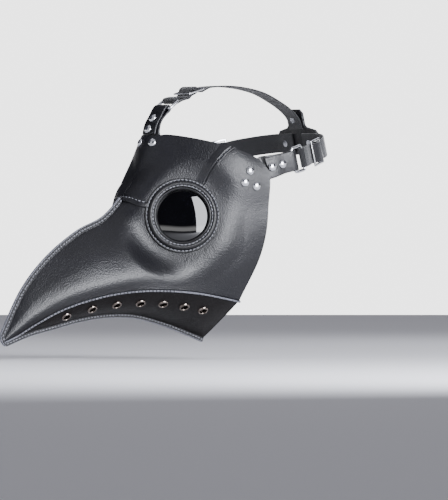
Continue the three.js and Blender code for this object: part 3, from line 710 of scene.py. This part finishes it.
def forehead_piece(thick):
    seam, upper = forehead_bounds(150)
    halves = []
    for i in range(len(seam)):
        a, b = face(*seam[i])[0], face(*upper[i])[0]
        span = max(np.linalg.norm(b - a), 0.05)
        squeeze = min(1.0, span / 24)
        stations = np.array(HEM_STATIONS) * squeeze / span
        v = np.concatenate([stations, np.linspace(stations[-1], 1, 26)[1:]])
        pairs = seam[i] + (upper[i] - seam[i]) * v[:, None]
        halves.append(pairs)
    pairs = np.array(halves)
    flat_s, flat_t = pairs[..., 0].ravel(), pairs[..., 1].ravel()
    p = face(flat_s, flat_t)
    n = forehead_normals(flat_s, flat_t, p)
    line = face(seam[:, 0], seam[:, 1])
    away = np.full(len(p), 1e9)
    for q, narrow in zip(line, hem_width(line)):
        away = np.minimum(away, np.linalg.norm(p - q, axis=1) / narrow)
    lift = np.interp(away, HEM[:, 0], HEM[:, 1])
    p = (p + n * lift[:, None]).reshape(*pairs.shape[:2], 3)
    made = [grid_piece("forehead_leather", mirror_x(p, sign)) for sign in SIDES.values()]
    piece = join("forehead_leather", made)
    tidy_mesh(piece)
    hide_faces(piece, outside_eyes)
    face_outwards(piece)
    leather_wall(piece, thick)
    return piece, seam, upper


def under_piece(side, sign, thick):
    s, t = np.linspace(0, 1, 240), np.linspace(0, 1, 54)
    rows = underside(np.repeat(s, len(t)), np.tile(t, len(s))).reshape(len(s), len(t), 3)
    panel = grid_piece(f"under_leather_{side}", mirror_x(rows, sign))
    vents = eyelet_places()

    def keep(middles):
        kept = np.ones(len(middles), bool)
        for at, out in vents:
            d = middles * [sign, 1, 1] - at
            off_axis = np.linalg.norm(d - np.outer(d @ out, out), axis=1)
            far = np.linalg.norm(d, axis=1) > VENT_NEAR
            kept &= off_axis + far * VENT_NEAR > VENT_HOLE
        return kept

    hide_faces(panel, keep)
    face_outwards(panel)
    leather_wall(panel, thick)
    return panel


def eyelet_places():
    found = []
    for i in range(VENTS):
        s, t = 0.82 - 0.078 * i - 0.002 * i * i, 0.65 - 0.0035 * i * i
        found.append((underside(s, t)[0], normals(underside, s, t)[0]))
    return found


def seam_stitches(name, points, outs, sign, slant=0.0, sink=0.1):
    points, outs = mirrored_all(sign, points, outs)
    return stitches(name, points, outs, sink, slant)


WHIP_SLANT = math.radians(68)  # the lip's stitches go over its edge


def stitch(what):
    return getattr(bpy.context.scene.mask_settings, f"stitch_{what}") / MM


# ---- turned pieces ----
RIM_PROFILE = [(28.6, 0.3), (37.4, 0.3), (37.4, 1.2), (37.1, 1.7), (36.5, 1.95), (35.9, 1.9), (35.5, 1.75),
               (35.15, 1.9),
               (34.8, 2.7), (34.3, 3.7), (33.5, 4.7), (32.5, 5.3), (31.5, 5.45), (30.6, 5.1),
               (30.1, 4.6), (29.7, 4.45),
               (29.2, 4.6), (28.8, 4.5), (28.6, 4.1), (28.6, 0.3)]
RIM_ROWS = {"outer": (35.5, 1.8), "inner": (29.7, 4.5)}
BEZEL_PROFILE = [(25.9, -2.2), (28.3, -2.2), (28.3, 3.1), (28.15, 3.6), (27.8, 3.88), (27.4, 3.9),
                 (27.0, 3.65),
                 (26.4, 3.0), (25.98, 2.5), (25.9, 2.2), (25.9, -2.2)]
SEAT_PROFILE = [(23.5, -2.9), (23.8, -2.8), (35.7, -2.8), (36, -3), (36, -4.2), (35.7, -4.4), (23.8, -4.4),
                (23.5, -4.2),
                (23.5, -2.9)]
EYELET_PROFILE = [(3.4, -3.9), (3.4, 0.7), (3.45, 1.1), (3.7, 1.45), (4.15, 1.6), (4.6, 1.5), (5.0, 1.1),
                  (5.3, 0.6),
                  (5.4, 0.3), (3.9, 0.3), (3.9, -3.1), (5.1, -3.1), (5.15, -3.5), (5.1, -3.9), (3.4, -3.9)]


def lens_profile():
    r = np.linspace(0, 25.6, 22)
    face_z = 2.2 - 2.8 * (r / 25.6) ** 2.2
    return [*zip(r, face_z), *zip(r[::-1], face_z[::-1] - 1.65)]


def rivet_profile(depth):
    dome = [(4.3 * math.sin(a), 0.3 + 2.5 * math.cos(a) ** 0.9) for a in np.linspace(0, math.pi / 2 - 0.02,
                                                                                     9)]
    return [*dome, (4.3, 0.3), (1.5, 0.3), (1.5, -depth - 0.3), (3.3, -depth - 0.3), (3.4, -depth - 0.5),
            (3.3, -depth - 1.15), (0, -depth - 1.2)]


def eye_place(sign):
    return [v * [sign, 1, 1] for v in (EYE_CENTRE, *eye_axes())]


def rim_piece(side, sign):
    """The padded leather ring round a lens, pulled in a little between its stitches."""
    profile = np.array(RIM_PROFILE)
    turns = np.linspace(0, 2 * np.pi, 288, endpoint=False)
    centre, back, up, out = eye_place(sign)
    rings = []
    for a in turns:
        z = profile[:, 1].copy()
        for radius, count in ((35.4, 66), (29.8, 55)):
            z -= 0.16 * np.exp(-((profile[:, 0] - radius)
                                 / 1.1) ** 2) * (1 + math.cos(count * a)) * (profile[:, 1] > 1)
        rings.append(centre + np.outer(z, out) + np.outer(profile[:, 0],
                                                          back * math.cos(a) + up * math.sin(a)))
    return grid_piece(f"padded_eye_rim_{side}", rings, close_rows=True)


# ---- belts ----
class Belt:
    """The line that a tab, loop, slider and band follow: l along it, n outwards from it and w across it."""

    def __init__(self, points, across):
        self.points, self.across = np.array(points, float), np.array(across, float)
        fine = catmull(self.points, np.linspace(0, 1, 401))
        self.lengths = lengths_along(fine)
        self.length = self.lengths[-1]

    def axes(self, l):
        u = np.interp(np.atleast_1d(l), self.lengths, np.linspace(0, 1, 401))
        tangent = unit(catmull(self.points, np.minimum(u + 1e-4, 1))
                       - catmull(self.points, np.maximum(u - 1e-4, 0)))
        return catmull(self.points, u), tangent, unit(np.cross(tangent, self.across))

    def place(self, l, n=0.0, w=0.0):
        at, _, out = self.axes(l)
        return at + out * np.reshape(n, (-1, 1)) + self.across * np.reshape(w, (-1, 1))


TILT = math.radians(14)
BELT_START = np.array([0, -27, 42.7])
ALONG = np.array([0, math.cos(TILT), math.sin(TILT)])
ACROSS = np.array([0, -math.sin(TILT), math.cos(TILT)])
BACK_PATCH_AT = 128.5
WIRE, LOOP_LENGTH, SLIDER_HALF, BAND_WIDTH = 1.5, 13.0, 9.0, 20.0


def on_belt(x, along):
    return BELT_START * [0, 1, 1] + ALONG * along + [x, 0, 0]


def nearest_place(x, y, z):
    s, t = nearest(face, np.array([x, y, z]))
    return face(s, t)[0], normals(face, s, t)[0]


def side_belt():
    first = []
    for along in (-18, -6, 8, 20):
        at = nearest_place(*on_belt(80, along))[0]
        first.append(at - ACROSS * ((at - BELT_START) @ ACROSS))
    rest = [(86.5, 38), (86.5, 60), (82, 82), (70, 104), (52, 120), (34, 128), (18, BACK_PATCH_AT),
            (6, BACK_PATCH_AT)]
    return Belt(first + [on_belt(x, along) for x, along in rest], ACROSS)


def crown_belt():
    first = [nearest_place(0, y, z)[0] * [0, 1, 1] for y, z in ((-101, 56), (-97, 68), (-93.3, 80))]
    over = [[0, y, z] for y, z in ((-84, 98), (-62, 116), (-30, 127), (6, 129.5), (42, 124.5), (68, 114),
                                   (84.5, 104))]
    return Belt(first + over + [on_belt(0, BACK_PATCH_AT) + ACROSS * w for w in (22, 12)], (-1, 0, 0))


BELTS = {}


def belt_named(side):
    """The belt of a strap with its start edge, and the sign that mirrors it."""
    kind = "top" if side == "top" else "side"
    if kind not in BELTS:
        BELTS[kind] = crown_belt() if kind == "top" else side_belt()
    return BELTS[kind], 26.0 if kind == "top" else 36.0, SIDES.get(side, 1.0)


def smooth_path(path, step):
    """A finer line through (l, n) points, with no overshoot where long and short steps meet."""
    p = np.array(path, float)
    h = np.linalg.norm(np.diff(p, axis=0), axis=1)
    d = np.diff(p, axis=0) / h[:, None]
    m = np.concatenate([d[:1], (h[1:, None] * d[:-1] + h[:-1, None] * d[1:]) / (h[:-1] + h[1:])[:, None],
                        d[-1:]])
    fine = []
    for i in range(len(h)):
        w = np.linspace(0, 1, max(2, int(h[i] / step) + 1), endpoint=False)[:, None]
        fine.append((2 * w**3 - 3 * w**2 + 1) * p[i] + (w**3 - 2 * w**2 + w) * h[i] * m[i]
                    + (3 * w**2 - 2 * w**3) * p[i + 1] + (w**3 - w**2) * h[i] * m[i + 1])
    return np.concatenate([*fine, p[-1:]])


def arc(l, radius, steps):
    turns = [-math.pi / 2 + math.pi * i / steps for i in range(steps + 1)]
    return [(l + radius * math.cos(a), radius * math.sin(a)) for a in turns]


def strap_piece(name, line, path, width, thick, sign, corner, shift=None, slope=None):
    """A flat strap with rounded edges along a path of (l, n) on a belt, with its UV map in real metres."""
    path = smooth_path(path, 0.7)
    ahead = unit(np.gradient(path, axis=0))
    normal = np.stack([-ahead[:, 1], ahead[:, 0]], 1)
    half = (width(path) if callable(width) else np.full(len(path), width)) / 2
    middle = shift(path) if shift else np.zeros(len(path))
    tilt = slope(path) if slope else np.zeros(len(path))
    corner = min(corner, thick / 2 - 0.02)
    section = []
    for quarter, (sw, st) in enumerate([(1, 1), (-1, 1), (-1, -1), (1, -1)]):
        for i in range(4):
            turn = math.radians(90 * quarter + 30 * i)
            section.append((sw, corner * (math.cos(turn) - sw),
                            st * (thick / 2 - corner) + corner * math.sin(turn)))
    rings = np.empty((len(path), len(section), 3))
    for k, (sw, dw, dn) in enumerate(section):
        w = middle + sw * half + dw
        l, n = path[:, 0] + normal[:, 0] * dn, path[:, 1] + normal[:, 1] * dn - tilt * w
        rings[:, k] = line.place(l, n, w)
    piece = lofted(name, mirror_x(rings, sign))
    metres = lengths_along(path) * MM
    metres = np.concatenate([[0], metres, metres[-1:]])
    ring = rings[len(path) // 2]
    around = lengths_along(ring[[*range(len(ring)), 0]]) * MM
    layer = piece.data.uv_layers[0]
    uv = np.empty(len(layer.data) * 2)
    layer.data.foreach_get("uv", uv)
    uv = uv.reshape(-1, 2)
    uv[:, 0] = np.interp(uv[:, 0], np.linspace(0, 1, len(around)), around)
    uv[:, 1] = np.interp(uv[:, 1], np.linspace(0, 1, len(metres)), metres)
    layer.data.foreach_set("uv", uv.ravel())
    return piece


def band_paths(edge, length):
    """A band's runs: from the slider's middle bar to the loop, back through the slider, on to the patch."""
    far = edge + 32 + LOOP_LENGTH
    at = far + 25
    sewn = [(at - 1, 1.95), (at + 1, 1.95), (at + 2.4, 1.3), (at + 2.9, 0), (at + 2.4, -1.3), (at + 0.5, -2),
            (at - 5, -2.8), (at - SLIDER_HALF, -4.4), (at - 13, -3.8), (far + 6, -3)]
    turn = [(far - l, n) for l, n in arc(0, WIRE + 0.3 + 0.75, 6)]
    back = smooth_path([turn[-1], (far + 6, 0.8), (at - 13, -1.6), (at - SLIDER_HALF, -2.4), (at - 6, 0),
                        (at - 3, 3.4), (at - 1, 4), (at + 1.6, 3.9), (at + 5.9, 0.4), (at + SLIDER_HALF,
                                                                                       -2.4),
                        (at + 13, -1.6), (at + 20, 0), (at + 25, 0)], 0.7)
    top = int(np.argmin(abs(back[:, 0] - at)))
    bend = at + 25 + 0.45 * (length - 33 - at - 25)
    middle = [(l, 0.0) for l in np.linspace(at + 25, bend, 5)]
    return far, at, bend, sewn + turn, back[:top + 1], back[top:], middle, [
        (l, 0.0) for l in np.linspace(bend, length - 2, 12)]


# ---- the add-on ----
class MaskSettings(bpy.types.PropertyGroup):
    leather_thickness: bpy.props.FloatProperty(
        name="Leather thickness", description="Leather with its felt lining",
        default=LEATHER * MM, unit="LENGTH")
    stitch_spacing: bpy.props.FloatProperty(
        name="Stitch spacing", description="From one stitch to the next", default=0.0038, unit="LENGTH")
    stitch_length: bpy.props.FloatProperty(
        name="Stitch length", description="Visible length of a stitch", default=0.0028, unit="LENGTH")
    stitch_thickness: bpy.props.FloatProperty(
        name="Thread thickness", description="Thickness of the thread", default=0.0012, unit="LENGTH")
    backdrop_colour: bpy.props.FloatVectorProperty(
        name="Backdrop", description="Colour of the floor", default=srgb("#e6e6e9")[:3], subtype="COLOR")
    camera_distance: bpy.props.FloatProperty(
        name="Camera distance", description="From the camera to the mask", default=9.0, unit="LENGTH")


class MASK_OT_cheeks(bpy.types.Operator):
    """Cheek and underside panels, sewn along the ridge, the mouth line and the keel"""

    bl_idname = "mask.cheeks"
    bl_label = "Beak and cheek leather"

    def execute(self, context):
        thick = context.scene.mask_settings.leather_thickness / MM
        # the underside gets the duller brown-black leather: painted shade on the faces turned down
        under_leather = ("brown_black_pu_leather", *LEATHERS[1:])
        *edge_line, edge_height = beak_edge()
        lip = mouth_line(np.linspace(0.008, 1, 170))
        rise = smoothstep(np.linspace(0.008, 1, 170), 0, 0.07)
        for side, sign in SIDES.items():
            parts = [cheek_piece(side, sign, thick),
                     fin_layer("edge", *mirrored_all(sign, *edge_line), 0.12, 1.6, edge_height, 1.5),
                     fin_layer("lip", *mirrored_all(sign, *lip), 0.06, 0.95, 3 * rise, 1.2)]
            for name in LEATHERS:
                parts[0].data.materials.append(material_named(name))
            cheek = join(f"cheek_leather_{side}", parts)
            finish_piece(cheek, LEATHERS, "mask", [f"cheek_panel_{side}"])
            parts = [under_piece(side, sign, thick),
                     fin_layer("lip", *mirrored_all(sign, *lip), -0.06, -0.85, 2.8 * rise, 1.2)]
            for name in under_leather:
                parts[0].data.materials.append(material_named(name))
            under = join(f"under_leather_{side}", parts)
            finish_piece(under, under_leather, "mask", [f"under_panel_{side}"])
            at, out, face_side = edge_line
            row = seam_stitches(f"beak_edge_stitches_{side}", at + face_side * 1.6 + out, face_side, sign)
            finish_piece(row, "grey_nylon_thread", "mask")
            at, out, upper = (line[9:112] for line in lip)
            row = seam_stitches(f"lip_stitches_{side}", at + out * 2.6 + upper * 0.7, unit(out + upper), sign,
                                sign * WHIP_SLANT, 0.15)
            finish_piece(row, "black_nylon_thread", "mask")
        return {"FINISHED"}


class MASK_OT_forehead(bpy.types.Operator):
    """Forehead panel with its hem lapped over the bridge and the temples"""

    bl_idname = "mask.forehead"
    bl_label = "Forehead leather"

    def execute(self, context):
        thick = context.scene.mask_settings.leather_thickness / MM
        piece, seam, upper = forehead_piece(thick + 0.6)
        finish_piece(piece, LEATHERS, "mask", ["forehead_panel"])
        inward = upper - seam
        reach = np.linalg.norm(face(upper[:, 0], upper[:, 1]) - face(seam[:, 0], seam[:, 1]), axis=1)
        wide = 6.0 * hem_width(face(seam[:, 0], seam[:, 1]))
        pairs = seam + inward * (wide / np.maximum(reach, 6.5))[:, None]
        points = face(pairs[:, 0], pairs[:, 1])
        outs = forehead_normals(pairs[:, 0], pairs[:, 1], points)
        points = points + outs * 0.75
        clear = eye_radius(points) > RIM_CLEAR
        bridge = clear & (points[:, 1] < EYE_CENTRE[1] - 5) & (points[:, 2] < 40)
        temple = clear & ~bridge & (points[:, 0] > 40)
        temple[-4:] = False
        for side, sign in SIDES.items():
            for name, which in (("bridge", bridge), ("temple", temple)):
                row = seam_stitches(f"{name}_stitches_{side}", points[which], outs[which], sign)
                finish_piece(row, "grey_nylon_thread", "mask")
        return {"FINISHED"}


class MASK_OT_eyepieces(bpy.types.Operator):
    """Padded rims, bezels, domed lenses and the seats behind them"""

    bl_idname = "mask.eyepieces"
    bl_label = "Eyepieces"

    def execute(self, context):
        for side, sign in SIDES.items():
            rim = rim_piece(side, sign)
            finish_piece(rim, "black_pu_leather", "mask", [f"eye_rim_{side}"], 60)
            for name, profile, finish, node, slot in (
                    ("bezel_ring", BEZEL_PROFILE, "satin_black_abs", "lens_bezel", "bezel_plastic"),
                    ("domed_lens", lens_profile(), "smoked_acrylic", "lens", "lens_plastic"),
                    ("seat_ring", SEAT_PROFILE, "black_pu_leather", "lens_seat", "faux_leather")):
                piece = turned(f"{name}_{side}", profile, 128, eye_place(sign))
                finish_piece(piece, finish, "mask", [f"{node}_{side}"], 50)
            centre, back, up, out = eye_place(sign)
            turns = np.linspace(0, 2 * np.pi, 300)
            for name, (radius, height) in RIM_ROWS.items():
                spokes = np.outer(np.cos(turns), back) + np.outer(np.sin(turns), up)
                row = stitches(f"rim_{name}_stitches_{side}", centre + spokes * radius + out * height,
                               np.tile(out, (len(turns), 1)))
                finish_piece(row, "grey_nylon_thread", "mask")
        return {"FINISHED"}


class MASK_OT_eyelets(bpy.types.Operator):
    """Rolled vent eyelets in the underside"""

    bl_idname = "mask.eyelets"
    bl_label = "Vent eyelets"

    def execute(self, context):
        for side, sign in SIDES.items():
            for i, (at, out) in enumerate(eyelet_places(), 1):
                place = frame_at(at * [sign, 1, 1], out * [sign, 1, 1])
                piece = turned(f"rolled_eyelet_{side}_{i}", EYELET_PROFILE, 40, place)
                finish_piece(piece, "gunmetal_plate", "mask", [f"eyelet_{side}_{i}"], 50)
        return {"FINISHED"}


class MASK_OT_rivets(bpy.types.Operator):
    """Domed nickel rivets at the temples, the forehead, the tabs and the back patch"""

    bl_idname = "mask.rivets"
    bl_label = "Domed rivets"

    def execute(self, context):
        lap, fold, patch = 7.3, 5.0, 4.5
        places = []
        temple = [nearest_place(79, y, z) for y, z in ((-27.4, 44.3), (-33, 32.9), (-20.3, 29.4))]
        brow = nearest_place(10, -96, 73)
        for side, sign in SIDES.items():
            for i, place in enumerate(temple, 1):
                places.append((f"temple_rivet_{side}_{i}", place, sign, lap, "mask"))
            places.append((f"forehead_rivet_{side}", brow, sign, lap, "mask"))
        for side in ("left", "right", "top"):
            line, edge, sign = belt_named(side)
            for i, l in enumerate((edge + 5, edge + 17), 1):
                place = (line.place(l, 1.75)[0], line.axes(l)[2][0])
                places.append((f"tab_rivet_{side}_{i}", place, sign, fold, "mask"))
        for side, (x, w) in {"left": (19, 0), "right": (-19, 0), "top": (0, 24)}.items():
            at = on_belt(0, BACK_PATCH_AT) - np.array([x, 0, 0]) + ACROSS * w + ALONG * 3.45
            places.append((f"patch_rivet_{side}", (at, ALONG), 1.0, patch, "harness"))
        for node, (at, out), sign, depth, body in places:
            piece = turned(f"domed_{node}", rivet_profile(depth), 40,
                           frame_at(at * [sign, 1, 1], out * [sign, 1, 1]))
            finish_piece(piece, "bright_nickel_plate", body, [node], 50)
        return {"FINISHED"}


class MASK_OT_tabs(bpy.types.Operator):
    """Leather tabs, folded back on themselves round the loops"""

    bl_idname = "mask.tabs"
    bl_label = "Folded tabs"

    def execute(self, context):
        for side in ("left", "right", "top"):
            line, edge, sign = belt_named(side)
            lap_width, lap_shift, slant = (28.0, 0.0, 0.0) if side == "top" else (25.0, -6.0, 0.2)
            under, bar, thick = -(LEATHER + 0.3 + 1.9 + 1.0), edge + 32, 2.0
            path = [(2, under), (edge * 0.35, under), (edge * 0.7, under), (edge - 1, under),
                    (edge + 4, -2.7),
                    (edge + 9, -1.9), (edge + 20, -1.75), (bar - 6, -2.25), *arc(bar, WIRE + 0.3 + 1.0, 8),
                    (bar - 6, 1.9), (edge + 20, 0.6), (edge + 9, 0.45), (edge + 4, -0.2), (edge + 1, -0.8)]

            def upper(p):
                past = np.maximum.accumulate(p[:, 0] >= bar)
                return past & (p[:, 1] > 0) | (np.arange(len(p)) > len(p) * 0.6)

            def width(p):
                wide = lap_width + (BAND_WIDTH - lap_width) * smoothstep(p[:, 0], edge * 0.6, bar)
                return np.where(upper(p), BAND_WIDTH, wide)

            def shift(p):
                return np.where(upper(p), 0, lap_shift * (1 - smoothstep(p[:, 0], edge - 14, edge)))

            def slope(p):
                rise = 0.4 + 0.6 * smoothstep(p[:, 0], 8, edge)
                return slant * rise * (1 - smoothstep(p[:, 0], edge + 2, edge + 22))

            piece = strap_piece(f"folded_tab_{side}", line, path, width, thick, sign, 0.6, shift, slope)
            finish_piece(piece, "charcoal_pu_leather", "mask", [f"tab_{side}"])
        return {"FINISHED"}


class MASK_OT_harness(bpy.types.Operator):
    """Wire loops, sliders, elastic bands and the back patch"""

    bl_idname = "mask.harness"
    bl_label = "Head harness"

    def execute(self, context):
        for side in ("left", "right", "top"):
            line, edge, sign = belt_named(side)
            far, at, bend, sewn, front, through, middle, rest = band_paths(edge, line.length)
            loop = wire_loop(f"wire_loop_{side}", line, edge + 32, sign)
            finish_piece(loop, "bright_nickel_plate", f"loop_{side}", [f"loop_{side}"], 60)
            slider = copied_node(f"slider_{side}", f"three_bar_slider_{side}", 0.45)
            finish_piece(slider, "bright_nickel_plate", f"slider_{side}", [f"slider_{side}"],
                         40)
            elastic = [material_named("woven_elastic")]

            def point(l):
                return (line.place(l)[0] * [sign, 1, 1] * MM).tolist()

            loop_body, slider_body = f"loop_{side}", f"slider_{side}"
            runs = (("sewn_end", sewn, slider_body, loop_body, at - 3, far + 2),
                    ("front_run", front, loop_body, slider_body, far + 1, at - SLIDER_HALF - 1),
                    ("slider_run", through, slider_body, loop_body, at + SLIDER_HALF + 1, at + 24.5),
                    ("middle_run", middle, loop_body, "mask", at + 25.5, bend - 0.5),
                    ("long_run", rest, "mask", "harness", bend + 0.5, line.length - 33))
            for name, path, a, b, start, end in runs:
                piece = strap_piece(f"elastic_{name}_{side}", line, path, BAND_WIDTH - 0.6, 1.5, sign, 0.45)
                dress_blend(piece, elastic, point(start), point(end))
                if name == "long_run":
                    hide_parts(f"band_{side}")
        patch = copied_node("back_patch", "leather_back_patch", 0.6)
        finish_piece(patch, LEATHERS, "harness", ["back_patch"], 40)
        return {"FINISHED"}


def dress_blend(piece, materials, start, end):
    for material in materials:
        piece.data.materials.append(material)
    pick(piece)
    bpy.ops.object.shade_smooth_by_angle(angle=math.radians(60))
    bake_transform(piece)


def wire_loop(name, line, bar, sign):
    start = line.place(bar)[0]
    tangent = unit(line.place(bar + LOOP_LENGTH)[0] - start)
    out = np.cross(tangent, line.across)
    half, corner = BAND_WIDTH / 2 + 2.2, 2.5
    rings = []
    for quarter, (l, w) in enumerate(((LOOP_LENGTH, half), (LOOP_LENGTH, -half), (0, -half), (0, half))):
        centre = start + tangent * (l - corner * np.sign(l - 1)) + line.across * (w - corner * np.sign(w))
        for i in range(7):
            turn = math.pi / 2 - math.pi / 2 * (quarter + i / 6)
            radial = tangent * math.cos(turn) + line.across * math.sin(turn)
            rings.append([centre + radial * (corner + WIRE * math.cos(k)) + out * (WIRE * math.sin(k))
                          for k in np.linspace(0, 2 * np.pi, 16, endpoint=False)])
    return lofted(name, mirror_x(rings, sign), closed=True)


def copied_node(node, name, soften):
    """A merged copy of a frame solid with softened edges."""
    solid = bpy.data.objects[node] if node in bpy.data.objects else None
    if solid is None:
        raise RuntimeError(f"no solid named {node}")
    piece = bpy.data.objects.new(name, solid.data.copy())
    bpy.context.scene.collection.objects.link(piece)
    piece.data.materials.clear()
    clear_selection()
    piece.select_set(True)
    tidy_mesh(piece)
    edit(piece, (bpy.ops.mesh.dissolve_limited, {"angle_limit": math.radians(2)}))
    apply_modifier(piece, "BEVEL", width=soften * MM, segments=3, limit_method="ANGLE",
                   angle_limit=math.radians(40))
    return piece


class MASK_OT_stage(bpy.types.Operator):
    """Pale floor, soft lights and the camera"""

    bl_idname = "mask.stage"
    bl_label = "Stage"

    def execute(self, context):
        settings = context.scene.mask_settings
        turn = math.radians(52)
        ahead = np.array([-math.sin(turn), math.cos(turn), 0])
        right = np.array([math.cos(turn), math.sin(turn), 0])
        aim = right * 2 + [0, 0, -34]
        rows = [[ahead * depth + right * across + [0, 0, -142] for across in np.linspace(-6000, 6000, 9)]
                for depth in np.linspace(-6000, 6000, 9)]
        sweep = grid_piece("paper_floor", rows)
        material, place = bare("matte_paper")
        fibre = add_node(material, "TexNoise", place, {"Scale": 400.0, "Detail": 3.0})
        bump = add_node(material, "Bump", [(fibre, "Fac", "Height")], {"Strength": 0.05, "Distance": 0.0005})
        surface_of("matte_paper", [(bump, "Normal", "Normal")], Base_Color=(*settings.backdrop_colour, 1.0),
                   Roughness=0.9, Specular_IOR_Level=0.1)
        sweep.data.materials.append(material)
        pick(sweep)
        bpy.ops.object.shade_smooth()
        world = bpy.data.worlds.new("studio")
        world.use_nodes = True
        way = add_node(world, "TexCoord")
        height = add_node(world, "SeparateXYZ", [(way, "Generated", "Vector")])
        glow = add_node(world, "ValToRGB", [(height, "Z", "Fac")],
                        stops=[(0.0, (1, 1, 1, 1)), (0.035, (1, 1, 1, 1)), (0.08, (0.02, 0.0205, 0.026, 1)),
                               (0.68, (0.02, 0.0205, 0.026, 1)), (0.8, (0.2, 0.2, 0.215, 1))])
        backdrop = world.node_tree.nodes["Background"]
        world.node_tree.links.new(glow.outputs["Color"], backdrop.inputs["Color"])
        backdrop.inputs["Strength"].default_value = 3.2
        context.scene.world = world
        # name, degrees round from the camera, degrees up, distance, width, height, power
        for name, round_, rise, far, wide, high, power in (
                ("key_softbox", 35, 16, 2.0, 1.25, 1.35, 105), ("fill_softbox", -60, 25, 2.2, 1.0, 1.4, 4),
                ("back_softbox", 150, 40, 2.2, 1.2, 1.2, 14)):
            a, b = turn + math.radians(round_), math.radians(rise)
            toward = Vector((math.sin(a) * math.cos(b), -math.cos(a) * math.cos(b), math.sin(b)))
            light = bpy.data.lights.new(name, "AREA")
            light.color = (0.92, 0.94, 1.0)
            light.shape, light.size, light.size_y, light.energy = "RECTANGLE", wide, high, power
            lamp = bpy.data.objects.new(name, light)
            bpy.context.scene.collection.objects.link(lamp)
            middle = Vector(aim * MM)
            lamp.matrix_world = (Matrix.Translation(middle + toward * far)
                                 @ toward.to_track_quat("Z", "Y").to_matrix().to_4x4())
        lens = bpy.data.cameras.new("camera")
        lens.lens = 36 * settings.camera_distance / 0.5
        lens.clip_end = 100
        camera = bpy.data.objects.new("camera", lens)
        bpy.context.scene.collection.objects.link(camera)
        back = Vector(-ahead)
        camera.matrix_world = (Matrix.Translation(Vector(aim * MM) + back * settings.camera_distance)
                               @ back.to_track_quat("Z", "Y").to_matrix().to_4x4())
        context.scene.camera = camera
        return {"FINISHED"}


OPERATORS = (MASK_OT_cheeks, MASK_OT_forehead, MASK_OT_eyepieces, MASK_OT_eyelets, MASK_OT_rivets,
             MASK_OT_tabs,
             MASK_OT_harness, MASK_OT_stage)


class MASK_PT_panel(bpy.types.Panel):
    bl_label = "Plague Doctor Mask"
    bl_space_type = "VIEW_3D"
    bl_region_type = "UI"
    bl_category = "Mask"

    def draw(self, context):
        for name in MaskSettings.__annotations__:
            self.layout.prop(context.scene.mask_settings, name)
        for operator in OPERATORS:
            self.layout.operator(operator.bl_idname)


CLASSES = (MaskSettings, *OPERATORS, MASK_PT_panel)


def register():
    for item in CLASSES:
        bpy.utils.register_class(item)
    bpy.types.Scene.mask_settings = bpy.props.PointerProperty(type=MaskSettings)


def unregister():
    del bpy.types.Scene.mask_settings
    for item in reversed(CLASSES):
        bpy.utils.unregister_class(item)


def main():
    register()
    for operator in OPERATORS:
        group, name = operator.bl_idname.split(".")
        getattr(getattr(bpy.ops, group), name)()


if __name__ == "__main__":
    main()
